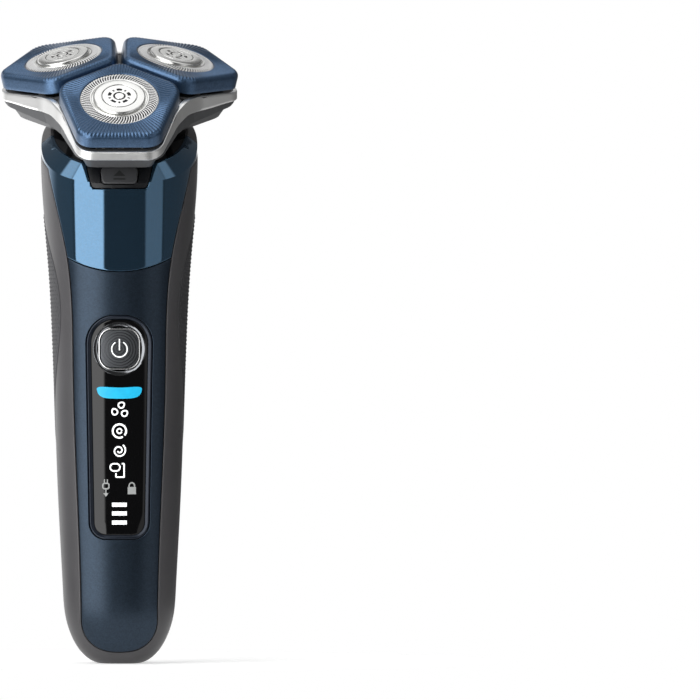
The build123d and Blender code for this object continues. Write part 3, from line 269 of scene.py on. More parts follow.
# %% Spun metal, light guides, symbol ink, board and cell
button_low, button_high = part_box("power_button")
button_centre = [(a + b) / 2 for a, b in zip(button_low, button_high)]


def spun_metal():
    """Dark spun aluminium with rings round the middle of the power button."""
    material, tree, shader, coords = new_finish("dark spun aluminium", Metallic=1.0, Anisotropic=0.6)
    shader.inputs["Base Color"].default_value = hex_colour("#55575a")
    centred = add(tree, "ShaderNodeMapping", {"Vector": coords})
    centred.inputs["Location"].default_value = [-value for value in button_centre]
    rings = add(tree, "ShaderNodeTexWave",
                {"Vector": centred.outputs["Vector"], "Scale": per_mm(2.4), "Distortion": 0.6, "Detail": 1.0},
                wave_type="RINGS", rings_direction="Y")
    vary_roughness(tree, shader, rings.outputs["Fac"], 0.26, 0.42)
    emboss(tree, shader, rings.outputs["Fac"], 0.004)
    return material


def light_guide(name, colour, glow, edge):
    """Translucent guide lit from behind; the glow falls off a little in its grain."""
    material, tree, shader, coords = new_finish(name, Roughness=0.35)
    speck = add(tree, "ShaderNodeTexNoise", {"Vector": coords, "Scale": per_mm(1.5), "Detail": 2.0})
    vary_colour(tree, shader, speck.outputs["Fac"], edge, colour)
    shader.inputs["Emission Color"].default_value = hex_colour(colour)
    shader.inputs["Emission Strength"].default_value = glow
    return material


spun_button = spun_metal()
cyan_light = light_guide("cyan light guide", "#1fb6e0", 0.40, "#1593bd")
white_light = light_guide("white display light", "#f4f6f6", 0.75, "#e8ecec")
grey_light = light_guide("dim display light", "#9b9d9c", 0.35, "#8c8e8d")
symbol_ink = moulded_plastic("black symbol ink", "#1a1b1c", "#222324", 0.5, 0.4, 0.002)


def circuit_board():
    """Green solder resist over glass-fibre laminate, with the weave just showing."""
    material, tree, shader, coords = new_finish("green solder resist", Roughness=0.35, Coat_Weight=0.4)
    weave = add(tree, "ShaderNodeTexWave", {"Vector": coords, "Scale": per_mm(3.0), "Distortion": 1.0})
    vary_colour(tree, shader, weave.outputs["Fac"], "#0f4a2c", "#176039")
    emboss(tree, shader, weave.outputs["Fac"], 0.01)
    return material


board_green = circuit_board()
cell_sleeve = moulded_plastic("blue heat-shrink sleeve", "#1f4f86", "#2a62a2", 0.3, 1.2, 0.02)
print("materials:", len(bpy.data.materials))

# %% [markdown]
# ## Finishes of the parts that stay as the CAD made them
# Most of these are inside the closed handle, but they are real parts and get their real material. Their
# meshes stay as they are, so a material is all they need.

# %% Materials on CAD nodes
def dress(material, *names):
    """Put one finish on CAD nodes."""
    for name in names:
        for slot in nodes[name].material_slots:
            slot.material = material
        if not nodes[name].material_slots:
            nodes[name].data.materials.append(material)


SIDES = ("front", "right", "left")


def each_side(stem):
    """Node names of a part that every head has."""
    return [f"{stem}_{side}" for side in SIDES]


dress(inner_plastic, "inner_chassis", "motor_bracket", "charging_inlet", "power_switch", "gear_plate")
dress(inner_plastic, *each_side("gimbal_ring"), *each_side("retaining_ring"))
dress(plain_steel, "chassis_screws", "plate_screws", "hinge_pin", "motor_rotor", "neck_spindle")
dress(plain_steel, *each_side("drive_spindle"))
# cutters: real steel, darkened as painted shade
dress(shade_darkened_cutter_steel, *each_side("rotary_cutter"))
dress(gear_plastic, "central_gear", *each_side("driven_gear"))
dress(board_green, "main_board")
dress(cell_sleeve, "battery_cell")
dress(nickel, "battery_contacts", "charging_pins")
dress(motor_steel, "motor_can")
dress(collar_gloss, "top_collar", "neck_boss")
dress(bowl_plastic, "hair_chamber", "head_frame")
print("CAD nodes dressed")

# %% [markdown]
# ## Pieces from rings of points
# Nearly every visible part is a skin that follows one rule, so its mesh is a stack of rings of points
# with quads between them. One function closes such a stack, turns its faces outwards and marks the edges
# that stay sharp; another hangs the piece on its body and hides the CAD nodes it stands for.

# %% Helpers for meshes
SHARP_ANGLE = 32.0
MERGE_WITHIN = 0.005


def ring_faces(rings, count, closed_ring=True, closed_stack=False):
    """Quads between neighbouring rings that all have the same number of points."""
    faces = []
    last = rings if closed_stack else rings - 1
    around = count if closed_ring else count - 1
    for row in range(last):
        a, b = row * count, (row + 1) % rings * count
        for i in range(around):
            j = (i + 1) % count
            faces.append((a + i, a + j, b + j, b + i))
    return faces


def build_object(name, points, faces, finish, sharp=SHARP_ANGLE):
    """Mesh object from points in millimetres, merged, closed up and turned outwards."""
    mesh = bpy.data.meshes.new(name)
    mesh.from_pydata(np.asarray(points) * MM, [], faces)
    sheet = bmesh.new()
    sheet.from_mesh(mesh)
    bmesh.ops.remove_doubles(sheet, verts=sheet.verts, dist=MERGE_WITHIN * MM)
    bmesh.ops.dissolve_degenerate(sheet, edges=sheet.edges, dist=1e-8)
    bmesh.ops.recalc_face_normals(sheet, faces=sheet.faces)
    for edge in sheet.edges:
        edge.smooth = not edge.is_manifold or edge.calc_face_angle(0.0) < math.radians(sharp)
    for face in sheet.faces:
        face.smooth = True
    sheet.to_mesh(mesh)
    sheet.free()
    made = bpy.data.objects.new(name, mesh)
    bpy.context.scene.collection.objects.link(made)
    mesh.materials.append(finish)
    return made


def settle(piece, body, replaced=()):
    """Hang a finished piece on its body and hide the CAD nodes it stands for."""
    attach(piece, body)
    if replaced:
        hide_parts(*replaced)
    print(piece.name, "rides on", body, "-", len(piece.data.polygons), "faces")
    return piece


def joined(name, parts):
    """Join several objects' meshes into the first one."""
    sheet = bmesh.new()
    materials = []
    for part in parts:
        start = len(sheet.faces)
        sheet.from_mesh(part.data)
        sheet.faces.ensure_lookup_table()
        material = part.data.materials[0]
        if material not in materials:
            materials.append(material)
        for face in sheet.faces[start:]:
            face.material_index = materials.index(material)
    mesh = bpy.data.meshes.new(name)
    sheet.to_mesh(mesh)
    sheet.free()
    for material in materials:
        mesh.materials.append(material)
    for part in parts:
        bpy.data.objects.remove(part)
    made = bpy.data.objects.new(name, mesh)
    bpy.context.scene.collection.objects.link(made)
    return made

# %% [markdown]
# ## The handle's form
# The handle is one lofted body. Its cross-sections are super-ellipses, fuller than an ellipse at the
# corners, and a cubic spline carries their width and depth up the handle. Covers, shell, grip and glass
# are all cut from that one skin, so they share one function for its surface. Modelling each piece by eye
# and pushing them together would leave steps at the seams. At the top, a cone that leans forward with
# the head cuts the form and leaves the sloping band round the collar.

# %% Form of the handle
FORM_POWER = 2.4
FOOT_STEPS = 5
FOOT_HALF_WIDTH = 4.6
FOOT_HALF_DEPTH = 5.0
# height, half width, front depth and back depth of each cross-section
STATIONS = [
    (20.0, 15.6, 12.2, 12.6),
    (45.0, 16.9, 13.6, 14.2),
    (80.0, 18.1, 15.2, 15.8),
    (112.0, 19.7, 18.0, 17.6),
    (133.4, 21.5, 22.0, 18.8),
    (166.0, 16.5, 22.5, 18.0),
]


def foot_stations():
    """Cross-sections of the rounded foot, from the flat it stands on up to the first station."""
    height, half, front, back = STATIONS[0]
    found = []
    for step in range(FOOT_STEPS):
        turn = math.radians(90 * step / FOOT_STEPS)
        s = math.sin(turn)
        found.append((height * (1 - math.cos(turn)),
                      FOOT_HALF_WIDTH + (half - FOOT_HALF_WIDTH) * s,
                      FOOT_HALF_DEPTH + (front - FOOT_HALF_DEPTH) * s,
                      FOOT_HALF_DEPTH + (back - FOOT_HALF_DEPTH) * s))
    return found


def spline_table(knots, samples):
    """Not-a-knot cubic spline through rows of numbers, by chord length, as a dense table."""
    rows = np.array(knots)
    steps = np.diff(rows, axis=0)
    t = np.r_[0, np.cumsum(np.hypot(steps[:, 0], steps[:, 1]))]
    h = np.diff(t)
    n = len(t)
    system = np.zeros((n, n))
    right = np.zeros_like(rows)
    system[0, :3] = h[1], -(h[0] + h[1]), h[0]
    system[-1, -3:] = h[-1], -(h[-2] + h[-1]), h[-2]
    for i in range(1, n - 1):
        system[i, i - 1:i + 2] = h[i - 1], 2 * (h[i - 1] + h[i]), h[i]
        right[i] = 6 * ((rows[i + 1] - rows[i]) / h[i] - (rows[i] - rows[i - 1]) / h[i - 1])
    curve = np.linalg.solve(system, right)
    x = np.linspace(0, t[-1], samples)
    i = np.clip(np.searchsorted(t, x) - 1, 0, n - 2)
    width = h[i][:, None]
    a = (t[i + 1] - x)[:, None] / width
    b = 1 - a
    bend = (a ** 3 - a) * curve[i] + (b ** 3 - b) * curve[i + 1]
    return a * rows[i] + b * rows[i + 1] + bend * width * width / 6


FORM_TABLE = spline_table(foot_stations() + STATIONS, 6000)


def form_sizes(z):
    """Half width, front depth and back depth of the handle at a height."""
    return [np.interp(z, FORM_TABLE[:, 0], FORM_TABLE[:, column]) for column in (1, 2, 3)]


HEAD_TILT = math.radians(26.0)
HEAD_ORIGIN = np.array((0.0, -8.0, 167.5))
HEAD_AXES = np.array([
    (1.0, 0.0, 0.0),
    (0.0, math.cos(HEAD_TILT), math.sin(HEAD_TILT)),
    (0.0, -math.sin(HEAD_TILT), math.cos(HEAD_TILT)),
])
COLLAR_DEPTH = 22.4
COLLAR_SIZES = (19.0, 24.0, 17.4)
COLLAR_SLOPE = math.tan(math.radians(50.0))


def to_head(points):
    """World points in the head's own frame."""
    return (np.asarray(points) - HEAD_ORIGIN) @ HEAD_AXES.T


def from_head(points):
    """Points of the head's frame in the world."""
    return np.asarray(points) @ HEAD_AXES + HEAD_ORIGIN


def oval_value(x, y, half, front, back):
    """Super-ellipse size of a point: 1 on the outline."""
    depth = np.where(y < 0, front, back)
    return ((np.abs(x) / half) ** FORM_POWER + (np.abs(y) / depth) ** FORM_POWER) ** (1 / FORM_POWER)


def form_value(points):
    """Size of points against the handle's form."""
    half, front, back = form_sizes(points[..., 2])
    return oval_value(points[..., 0], points[..., 1], half, front, back)


def cone_value(points):
    """Size of points against the sloping band round the collar."""
    local = to_head(points)
    grow = COLLAR_SLOPE * (-COLLAR_DEPTH - local[..., 2])
    half, front, back = [np.maximum(size + grow, 1.0) for size in COLLAR_SIZES]
    return oval_value(local[..., 0], local[..., 1], half, front, back)


def skin_value(points):
    """Size of points against form and band together."""
    return np.maximum(form_value(points), cone_value(points))


def skin_normals(points, value=skin_value):
    """Outward unit normals of the skin."""
    step = 0.02
    slopes = []
    for axis in range(3):
        shift = np.zeros(3)
        shift[axis] = step
        slopes.append(value(points + shift) - value(points - shift))
    normals = np.stack(slopes, axis=-1)
    return normals / np.linalg.norm(normals, axis=-1, keepdims=True)


def turning_points(holds, near, far, count, steps=40):
    """Values between near, where a test holds, and far, where it fails, just before and after it turns."""
    near, far = np.full(count, near), np.full(count, far)
    for _ in range(steps):
        middle = (near + far) / 2
        true = holds(middle)
        near, far = np.where(true, middle, near), np.where(true, far, middle)
    return near, far


IN_FRONT = -30.0


def front_skin(outline, sink):
    """Front-view points (x, z) laid on the handle's skin, sunk below it by a depth."""
    x, z = np.asarray(outline, float).T
    y = turning_points(lambda y: skin_value(np.column_stack([x, y, z])) > 1, IN_FRONT, 0.0, len(x))[1]
    points = np.column_stack([x, y, z])
    return points - np.asarray(sink).reshape(-1, 1) * skin_normals(points)


cad_depth = -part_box("lower_cover")[0][1] / MM
print("cover depth, CAD and form:", round(cad_depth, 2), round(float(-front_skin([(0, 107.8)], 0)[0, 1]), 2))

# %% [markdown]
# ## Outlines in the front view
# Seams and openings are drawn in the front view and then laid on the skin. An outline is evenly spaced
# points that start at the bottom middle and run anticlockwise, so that two outlines can be matched
# point by point and the rings between them stay tidy.

# %% Outline helpers
def rounded(corners, radii, steps=12):
    """Polygon with rounded corners, as a dense list of points."""
    corners = np.asarray(corners, float)
    points = []
    for i, corner in enumerate(corners):
        before = corners[i - 1] - corner
        after = corners[(i + 1) % len(corners)] - corner
        before /= np.linalg.norm(before)
        after /= np.linalg.norm(after)
        half_angle = math.acos(np.clip(before @ after, -1, 1)) / 2
        reach = radii[i] / math.tan(half_angle)
        centre = corner + (before + after) / np.linalg.norm(before + after) * radii[i] / math.sin(half_angle)
        start, end = corner + before * reach - centre, corner + after * reach - centre
        a0 = math.atan2(start[1], start[0])
        sweep = (math.atan2(end[1], end[0]) - a0 + math.pi) % (2 * math.pi) - math.pi
        for k in range(steps + 1):
            a = a0 + sweep * k / steps
            points.append(centre + radii[i] * np.array((math.cos(a), math.sin(a))))
    return np.array(points)


def rounded_box(x0, x1, z0, z1, radius, steps):
    """Rectangle with four equal rounded corners."""
    return rounded([(x0, z0), (x1, z0), (x1, z1), (x0, z1)], [radius] * 4, steps)


def evenly(points, count, closed=True):
    """Points spaced evenly along a polyline."""
    points = np.asarray(points, float)
    if closed:
        points = np.vstack([points, points[:1]])
    lengths = np.r_[0, np.cumsum(np.linalg.norm(np.diff(points, axis=0), axis=1))]
    places = np.linspace(0, lengths[-1], count + 1)[:-1] if closed else np.linspace(0, lengths[-1], count)
    return np.column_stack([np.interp(places, lengths, points[:, k]) for k in range(points.shape[1])])


def from_bottom(points, count):
    """Closed outline as even points, starting at the bottom middle, symmetric about x = 0."""
    dense = evenly(points, 4000)
    area = np.sum(dense[:, 0] * np.roll(dense[:, 1], -1) - np.roll(dense[:, 0], -1) * dense[:, 1])
    if area < 0:
        dense = dense[::-1]
    low = np.where(dense[:, 1] < dense[:, 1].mean(), np.abs(dense[:, 0]), 1e9).argmin()
    return evenly(np.roll(dense, -low, axis=0), count)


def shrunk(points, distance):
    """Anticlockwise outline moved inwards by a small distance."""
    along = np.roll(points, -1, axis=0) - np.roll(points, 1, axis=0)
    along /= np.linalg.norm(along, axis=1, keepdims=True)
    return points + distance * np.column_stack([-along[:, 1], along[:, 0]])


EDGE_TURNS = np.radians(np.arange(0, 91, 18))


def front_patch(name, outer, inner, finish, sink, thickness, edge, rings=10):
    """Closed piece of skin between two matched outlines (or a full one), with rounded edges."""
    middle = outer.mean(axis=0)
    hole = inner if inner is not None else middle + (outer - middle) * 0.001
    outer_top = shrunk(outer, edge)
    hole_top = shrunk(hole, -edge) if inner is not None else hole
    bottom = sink + thickness
    loops = [(outer, bottom)]
    for turn in EDGE_TURNS:
        loops.append((shrunk(outer, edge * (1 - math.cos(turn))), sink + edge * (1 - math.sin(turn))))
    for step in range(1, rings):
        loops.append((outer_top + (hole_top - outer_top) * step / rings, sink))
    if inner is not None:
        for turn in EDGE_TURNS[::-1]:
            loops.append((shrunk(hole, -edge * (1 - math.cos(turn))), sink + edge * (1 - math.sin(turn))))
    else:
        loops.append((hole, sink))
    for step in range(rings):
        loops.append((hole + (outer - hole) * step / rings, bottom))
    points = np.vstack([front_skin(loop, depth) for loop, depth in loops])
    return build_object(name, points, ring_faces(len(loops), len(outer), closed_stack=True), finish)

# %% [markdown]
# ## Seams between the covers
# In the front view the two blue covers are a long shield, narrow on the grip, that wraps round to the
# sides under the head. The seam is a smooth curve through a few half widths, and everything that meets
# it, on either side, takes it from here.

# %% Seams and openings
SEAM = [(10.7, 12.0), (11.7, 45.0), (12.9, 80.0), (14.6, 112.0), (19.3, 133.4), (20.4, 139.5)]
SEAM_FOOT = 3.0
FOOT_POINTS = 60
COVER_GAP = 0.26
SPLIT_SIDES = 113.0
SPLIT_MIDDLE = 107.9
SPLIT_HALF = SEAM[3][0] + 1.8
WINDOW_TOP = (8.1, 94.8)
WINDOW_BOTTOM = (7.0, 35.6)
WINDOW_TOP_CORNER = 6.6
WINDOW_BOTTOM_CORNER = 3.4


def smooth_through(points, count):
    """Dense smooth curve through points, by a cubic spline over chord length."""
    rows = [(b, a) for a, b in points]
    table = spline_table(rows, count)
    return table[:, ::-1]


def cover_side(gap):
    """Right seam of the covers from the middle of the foot to the top of the seam."""
    seam = smooth_through(SEAM, 400) - (gap, 0)
    foot_turn = np.linspace(0, math.pi / 2, FOOT_POINTS)
    foot = np.column_stack([
        seam[0, 0] * np.sin(foot_turn) ** 0.8,
        SEAM_FOOT + gap + (seam[0, 1] - SEAM_FOOT - gap) * (1 - np.cos(foot_turn)),
    ])
    return np.vstack([foot[:-1], seam])


def split_height(x, gap=0.0):
    """Height of the curved split between the two covers."""
    drop = SPLIT_SIDES - SPLIT_MIDDLE
    radius = (SPLIT_HALF * SPLIT_HALF + drop * drop) / (2 * drop)
    return SPLIT_MIDDLE + radius - np.sqrt(radius * radius - np.minimum(np.abs(x), SPLIT_HALF) ** 2) + gap


def window_shape(grow, count):
    """Outline of the display glass, grown all round."""
    top, upper = WINDOW_TOP[0] + grow, WINDOW_TOP[1] + grow
    bottom, lower = WINDOW_BOTTOM[0] + grow, WINDOW_BOTTOM[1] - grow
    corners = [(-bottom, lower), (bottom, lower), (top, upper), (-top, upper)]
    radii = [WINDOW_BOTTOM_CORNER + grow] * 2 + [WINDOW_TOP_CORNER + grow] * 2
    return from_bottom(rounded(corners, radii, 24), count)


side_low = cover_side(COVER_GAP)
side_low = side_low[side_low[:, 1] < split_height(side_low[:, 0])]
print("lower seam ends at", side_low[-1].round(2))

# %% [markdown]
# ## Lower cover
# The satin navy cover is a moulded shield with the opening for the display. It could be cut out of the
# form with booleans, but their edges are hard to round. Instead, rings of points run from its outer edge
# to the opening, and both edges are rolled in by a fraction of a millimetre, which draws the fine line
# of light along the seams.

# %% Lower cover
COVER_POINTS = 520
COVER_THICKNESS = 1.8
BEZEL = 1.3


def lower_outline():
    """Outer edge of the lower cover."""
    corner = side_low[-1, 0] - 0.25
    split_x = np.linspace(corner, -corner, 80)
    top = np.column_stack([split_x, split_height(split_x)])
    left = side_low[::-1] * (-1, 1)
    return from_bottom(np.vstack([side_low, top, left]), COVER_POINTS)


lower_cover = front_patch("lower_cover_satin", lower_outline(), window_shape(BEZEL + 0.05, COVER_POINTS),
                          cover_paint, 0.0, COVER_THICKNESS, 0.18, rings=18)
settle(lower_cover, "handle", ["lower_cover"])

# %% [markdown]
# ## Display
# A bezel with a sloping inner face holds the smoked window. Round the power button the window dips into
# a shallow dish, and a polished ring on its slope catches the light on one side only. Each piece is a
# stack of outlines laid on the skin at different depths. The dish and the window's edge are matched by
# direction from the button, so that no row of faces crosses the slope.

# %% Bezel, window and dish
WINDOW_SINK = 0.35
WINDOW_THICKNESS = 1.4
SOCKET_DEPTH = 1.9
DISH = (0.0, 86.8)
DISH_RADIUS = 7.35
DISH_DEPTH = 1.2
DISH_SLOPE = 0.45
BUTTON_SIZE = (10.6, 10.4)
BUTTON_CORNER = 3.3
RING_WIDTH = 0.42
LOOP = 360


def stacked(name, loops, finish, sharp):
    """Closed piece from outlines on the skin, each sunk by its own depth."""
    points = np.vstack([front_skin(loop, depth) for loop, depth in loops])
    return build_object(name, points, ring_faces(len(loops), LOOP, closed_stack=True), finish, sharp)


def bezel_piece():
    """Frame of the window: flat outer lip, then a slope down to the glass."""
    outer = window_shape(BEZEL - 0.08, LOOP)
    inner = window_shape(0.06, LOOP)
    loops = [(outer, 2.0), (outer, 0.25)]
    for step, depth in ((0.12, 0.10), (0.30, 0.06), (0.45, 0.12), (0.75, 0.42), (1.0, 0.62)):
        loops.append((outer + (inner - outer) * step, depth))
    loops.append((inner, 2.0))
    return stacked("display_bezel", loops, groove_shaded_bezel_paint, 50)


def button_shape(grow, count):
    """Soft rounded square of the power button."""
    half_x, half_z = BUTTON_SIZE[0] / 2 + grow, BUTTON_SIZE[1] / 2 + grow
    x, z = DISH
    outline = rounded_box(x - half_x, x + half_x, z - half_z, z + half_z, BUTTON_CORNER + grow, 24)
    return from_bottom(outline, count)


def socket_reach(angle, grow):
    """Distance from the middle of the dish to the button's socket, in given directions."""
    socket = button_shape(RING_WIDTH + grow, LOOP) - DISH
    found = np.arctan2(socket[:, 1], socket[:, 0])
    order = np.argsort(found)
    return np.interp(angle, found[order], np.hypot(socket[order, 0], socket[order, 1]), period=2 * math.pi)


def window_piece():
    """Smoked window with rounded rim; the dish is part of the same moulding."""
    outer = window_shape(0.0, LOOP)
    away = outer - DISH
    unit = away / np.linalg.norm(away, axis=1, keepdims=True)
    dish = DISH + DISH_RADIUS * unit
    socket = DISH + unit * socket_reach(np.arctan2(away[:, 1], away[:, 0]), 0.1)[:, None]
    depth = WINDOW_SINK
    rim = shrunk(outer, 0.2)
    loops = [(outer, depth + WINDOW_THICKNESS), (outer, depth + 0.2), (shrunk(outer, 0.06), depth + 0.06),
             (rim, depth)]
    for step in range(1, 14):
        loops.append((rim + (dish - rim) * step / 13, depth))
    for step in range(1, 7):
        loops.append((dish + (socket - dish) * step / 6, depth + DISH_DEPTH * step / 6))
    loops.append((socket, depth + SOCKET_DEPTH))
    back = SOCKET_DEPTH - WINDOW_THICKNESS
    for step in range(1, 12):
        loops.append((socket + (outer - socket) * step / 12, depth + SOCKET_DEPTH - back * step / 12))
    return stacked("display_glass", loops, display_glass, 28)


LINING_INNER = 6.25
# share of the way inwards, and depth below the slope
LINING_STEPS = [(0.0, 0.14), (0.0, 0.04), (0.06, 0.0), (0.3, 0.0), (0.6, 0.0), (0.94, 0.0),
                (1.0, 0.04), (1.0, 0.14)]


def dish_lining():
    """Polished ring on the slope of the dish; it stops short of the button's socket."""
    turn = np.linspace(0, 2 * math.pi, LOOP, endpoint=False)
    unit = np.column_stack([np.cos(turn), np.sin(turn)])
    inner, outer = np.maximum(socket_reach(turn, 0.2), LINING_INNER), DISH_RADIUS - 0.06
    loops = []
    for share, lift in LINING_STEPS:
        radius = outer + (inner - outer) * share
        depth = WINDOW_SINK - 0.02 + DISH_SLOPE * (DISH_RADIUS - radius) + lift
        loops.append((DISH + unit * radius[:, None], depth))
    return stacked("button_dish_lining", loops, dark_chrome, 50)


settle(bezel_piece(), "handle", ["window_bezel"])
settle(window_piece(), "handle", ["display_window"])
settle(dish_lining(), "handle")

# %% [markdown]
# ## Power button
# A soft square of dark spun metal in a thin chrome ring. The ring stays with the handle and the button
# slides through it, so they are two pieces on two bodies, with a fine gap between them. Both are patches
# of the same skin as the cover, so they follow its bow.

# %% Power button and its ring
ring = front_patch("button_chrome_ring", button_shape(RING_WIDTH + 0.06, LOOP), button_shape(0.14, LOOP),
                   bright_chrome, WINDOW_SINK - 0.12, WINDOW_THICKNESS, 0.12, rings=3)
settle(ring, "handle", ["button_ring"])
button = front_patch("power_button_cap", button_shape(0.0, LOOP), None,
                     spun_button, WINDOW_SINK, WINDOW_THICKNESS, 0.25, rings=12)
settle(button, "button", ["power_button"])

# %% [markdown]
# ## Drawing on the skin
# Everything that is lit or printed is drawn as ribbons: each lies between two matched lines just over
# the glass or the button. A texture on the window would be simpler, but a ribbon is a thin solid with an
# edge of its own, so it stays sharp from near.

# %% Ribbons on the skin
SYMBOL_LIFT = 0.02
SYMBOL_DEPTH = 0.06


def ribbon_solid(left, right, closed, top, thickness):
    """Points and faces of a thin strip on the skin between two matched lines in the front view."""
    count = len(left)
    rows = ((left, top), (right, top), (right, top + thickness), (left, top + thickness))
    layers = [front_skin(line, depth) for line, depth in rows]
    points = np.vstack(layers)
    faces = ring_faces(4, count, closed_ring=closed, closed_stack=True)
    if not closed:
        faces.append((0, count, 2 * count, 3 * count))
        faces.append((4 * count - 1, 3 * count - 1, 2 * count - 1, count - 1))
    return points, faces


def stroke(path, width, closed=False):
    """Both edges of a drawn line of a given width."""
    path = np.asarray(path, float)
    if closed:
        along = np.roll(path, -1, axis=0) - np.roll(path, 1, axis=0)
    else:
        along = np.gradient(path, axis=0)
    along /= np.linalg.norm(along, axis=1, keepdims=True)
    away = np.column_stack([-along[:, 1], along[:, 0]]) * width / 2
    return path + away, path - away, closed


def bar(x0, x1, z0, z1, steps=16):
    """Filled rectangle."""
    x = np.linspace(x0, x1, steps)
    return np.column_stack([x, np.full(steps, z1)]), np.column_stack([x, np.full(steps, z0)]), False


def arc(x, z, radius, start, end, steps=24):
    """Part of a circle; angles in degrees, anticlockwise."""
    turn = np.radians(np.linspace(start, end, steps))
    return np.column_stack([x + radius * np.cos(turn), z + radius * np.sin(turn)])


def symbol_piece(name, strips, finish, top=WINDOW_SINK - SYMBOL_LIFT, thickness=SYMBOL_DEPTH):
    """One object from several ribbons."""
    points, faces, start = [], [], 0
    for left, right, closed in strips:
        strip_points, strip_faces = ribbon_solid(left, right, closed, top, thickness)
        points.append(strip_points)
        faces += [tuple(start + i for i in face) for face in strip_faces]
        start += len(strip_points)
    return build_object(name, np.vstack(points), faces, finish)

# %% [markdown]
# ## Light bar
# One smiling bar of light under the button shows the state of the shaver. In the real one it's a clear
# guide with lamps behind it. Its top and bottom are two shallow arcs, which draw together at the ends.

# %% Light bar
def smile_bar(half, top, bottom, sag):
    """Both edges of the smiling light bar; its ends are drawn in to a soft tip."""
    x = np.linspace(-half, half, 60)
    t = x / half
    upper = top - sag * 0.55 * (1 - t * t)
    lower = bottom - sag * 0.2 * (1 - t * t)
    tip = (1 - np.abs(t) ** 5) ** 0.5
    middle = upper - (upper - lower) * 0.25
    edges = [np.column_stack([x, middle + (edge - middle) * tip]) for edge in (upper, lower)]
    return edges[0], edges[1], False


light_bar = symbol_piece("light_bar", [smile_bar(6.3, 76.7, 73.3, 1.0)], cyan_light, WINDOW_SINK - 0.05, 0.5)
settle(light_bar, "handle", ["indicator_bar"])

# %% [markdown]
# ## Display symbols
# The symbols stand for cleaning, skin, speed, cartridge, mains, lock and charge. No font has these
# shapes, so they are drawn as a sign painter would: a few strokes of one width each, along a line, an
# arc, a drop or a spiral. The lower two are dimmer, as lamps that are off still show a little.

# %% Display symbols
STROKE = 0.50
FINE = 0.40


def drop(x, z, size, lean):
    """Closed water drop; lean turns its tip, in degrees."""
    turn = np.linspace(0, 2 * math.pi, 40, endpoint=False)
    radius = size * (1 - 0.20 * np.cos(turn))
    tip = np.exp(-((turn - math.pi) / 0.5) ** 2) * size * 0.30
    angle = turn + math.radians(lean)
    return np.column_stack([x - (radius + tip) * np.cos(angle), z - (radius + tip) * np.sin(angle)])


def spiral(x, z, inner, outer, start, turns):
    """Line that winds outwards."""
    t = np.linspace(0, 1, 60)
    turn = math.radians(start) + 2 * math.pi * turns * t
    radius = inner + (outer - inner) * t
    return np.column_stack([x + radius * np.cos(turn), z + radius * np.sin(turn)])


def soft_box(x0, x1, z0, z1, radius):
    """Rounded rectangle as an even closed line."""
    return evenly(rounded_box(x0, x1, z0, z1, radius, 8), 60)


white_strips = [
    stroke(drop(0.35, 71.2, 0.75, 35), FINE, True),
    stroke(drop(-1.2, 69.3, 0.75, 120), FINE, True),
    stroke(drop(1.25, 68.9, 0.75, 40), FINE, True),
    stroke(arc(0.0, 64.2, 1.85, -40, 300, 48), STROKE),
    stroke(arc(0.0, 64.2, 0.65, 0, 345, 24), FINE),
    stroke(spiral(-0.1, 58.8, 0.35, 1.9, 200, 1.6), FINE),
    stroke(soft_box(-2.55, 0.15, 53.2, 55.2, 1.0), FINE, True),
    stroke(evenly([(-0.95, 52.6), (-0.95, 51.5), (1.3, 51.5), (1.3, 55.2), (0.65, 55.2)], 40, False), FINE),
    bar(-2.05, 2.05, 43.35, 44.45),
    bar(-2.05, 2.05, 40.95, 42.05),
    bar(-2.05, 2.05, 38.45, 39.55),
]
grey_strips = [
    bar(2.3, 4.6, 46.8, 48.8),
    stroke(np.vstack([[(2.7, 48.6)], arc(3.45, 49.2, 0.75, 180, 0, 14), [(4.2, 48.6)]]), 0.36),
    stroke(soft_box(-4.6, -2.9, 48.3, 49.8, 0.5), 0.36, True),
    bar(-4.3, -4.02, 49.9, 50.9),
    bar(-3.48, -3.2, 49.9, 50.9),
    bar(-3.9, -3.6, 46.6, 48.2),
    (np.array([(-4.5, 47.1), (-3.76, 46.1)]), np.array([(-3.0, 47.1), (-3.74, 46.1)]), False),
]
settle(symbol_piece("display_symbols", white_strips, white_light), "handle")
settle(symbol_piece("display_side_symbols", grey_strips, grey_light), "handle")
power_strips = [
    stroke(arc(0.0, 86.7, 2.15, -240, 60, 48), 0.30),
    stroke([(0.0, 86.4), (0.0, 88.0), (0.0, 89.5)], 0.30),
]
settle(symbol_piece("power_symbol", power_strips, white_light), "button")

# %% [markdown]
# ## Grids on the form
# The upper cover, the shell and the grip wrap round the handle, so a front view can't describe them. A
# grid does: columns turn round the handle and rows climb it. They crowd at the edges, where the skin
# rolls in, because a smooth-looking round needs its own rows of faces.

# %% Grid helpers
EDGE_ROUND = 0.2
EDGE_STEPS = np.array((0.0, 0.03, 0.09, 0.2))


def power(value):
    """Signed power that turns a circle into the form's super-ellipse."""
    return np.sign(value) * np.abs(value) ** (2 / FORM_POWER)


def on_form(turn, z):
    """Points of the form at a turn round the handle, 0 in front, and a height."""
    turn, z = np.broadcast_arrays(turn, z)
    half, front, back = form_sizes(z)
    depth = np.where(np.cos(turn) > 0, front, back)
    return np.stack([half * power(np.sin(turn)), -depth * power(np.cos(turn)), z], axis=-1)


CROWN_LIMITS = (122.0, 165.0)


def crown_height(turn):
    """Height of the edge where the form meets the sloping band."""
    return turning_points(lambda z: cone_value(on_form(turn, z)) <= 1, *CROWN_LIMITS, np.shape(turn))[0]


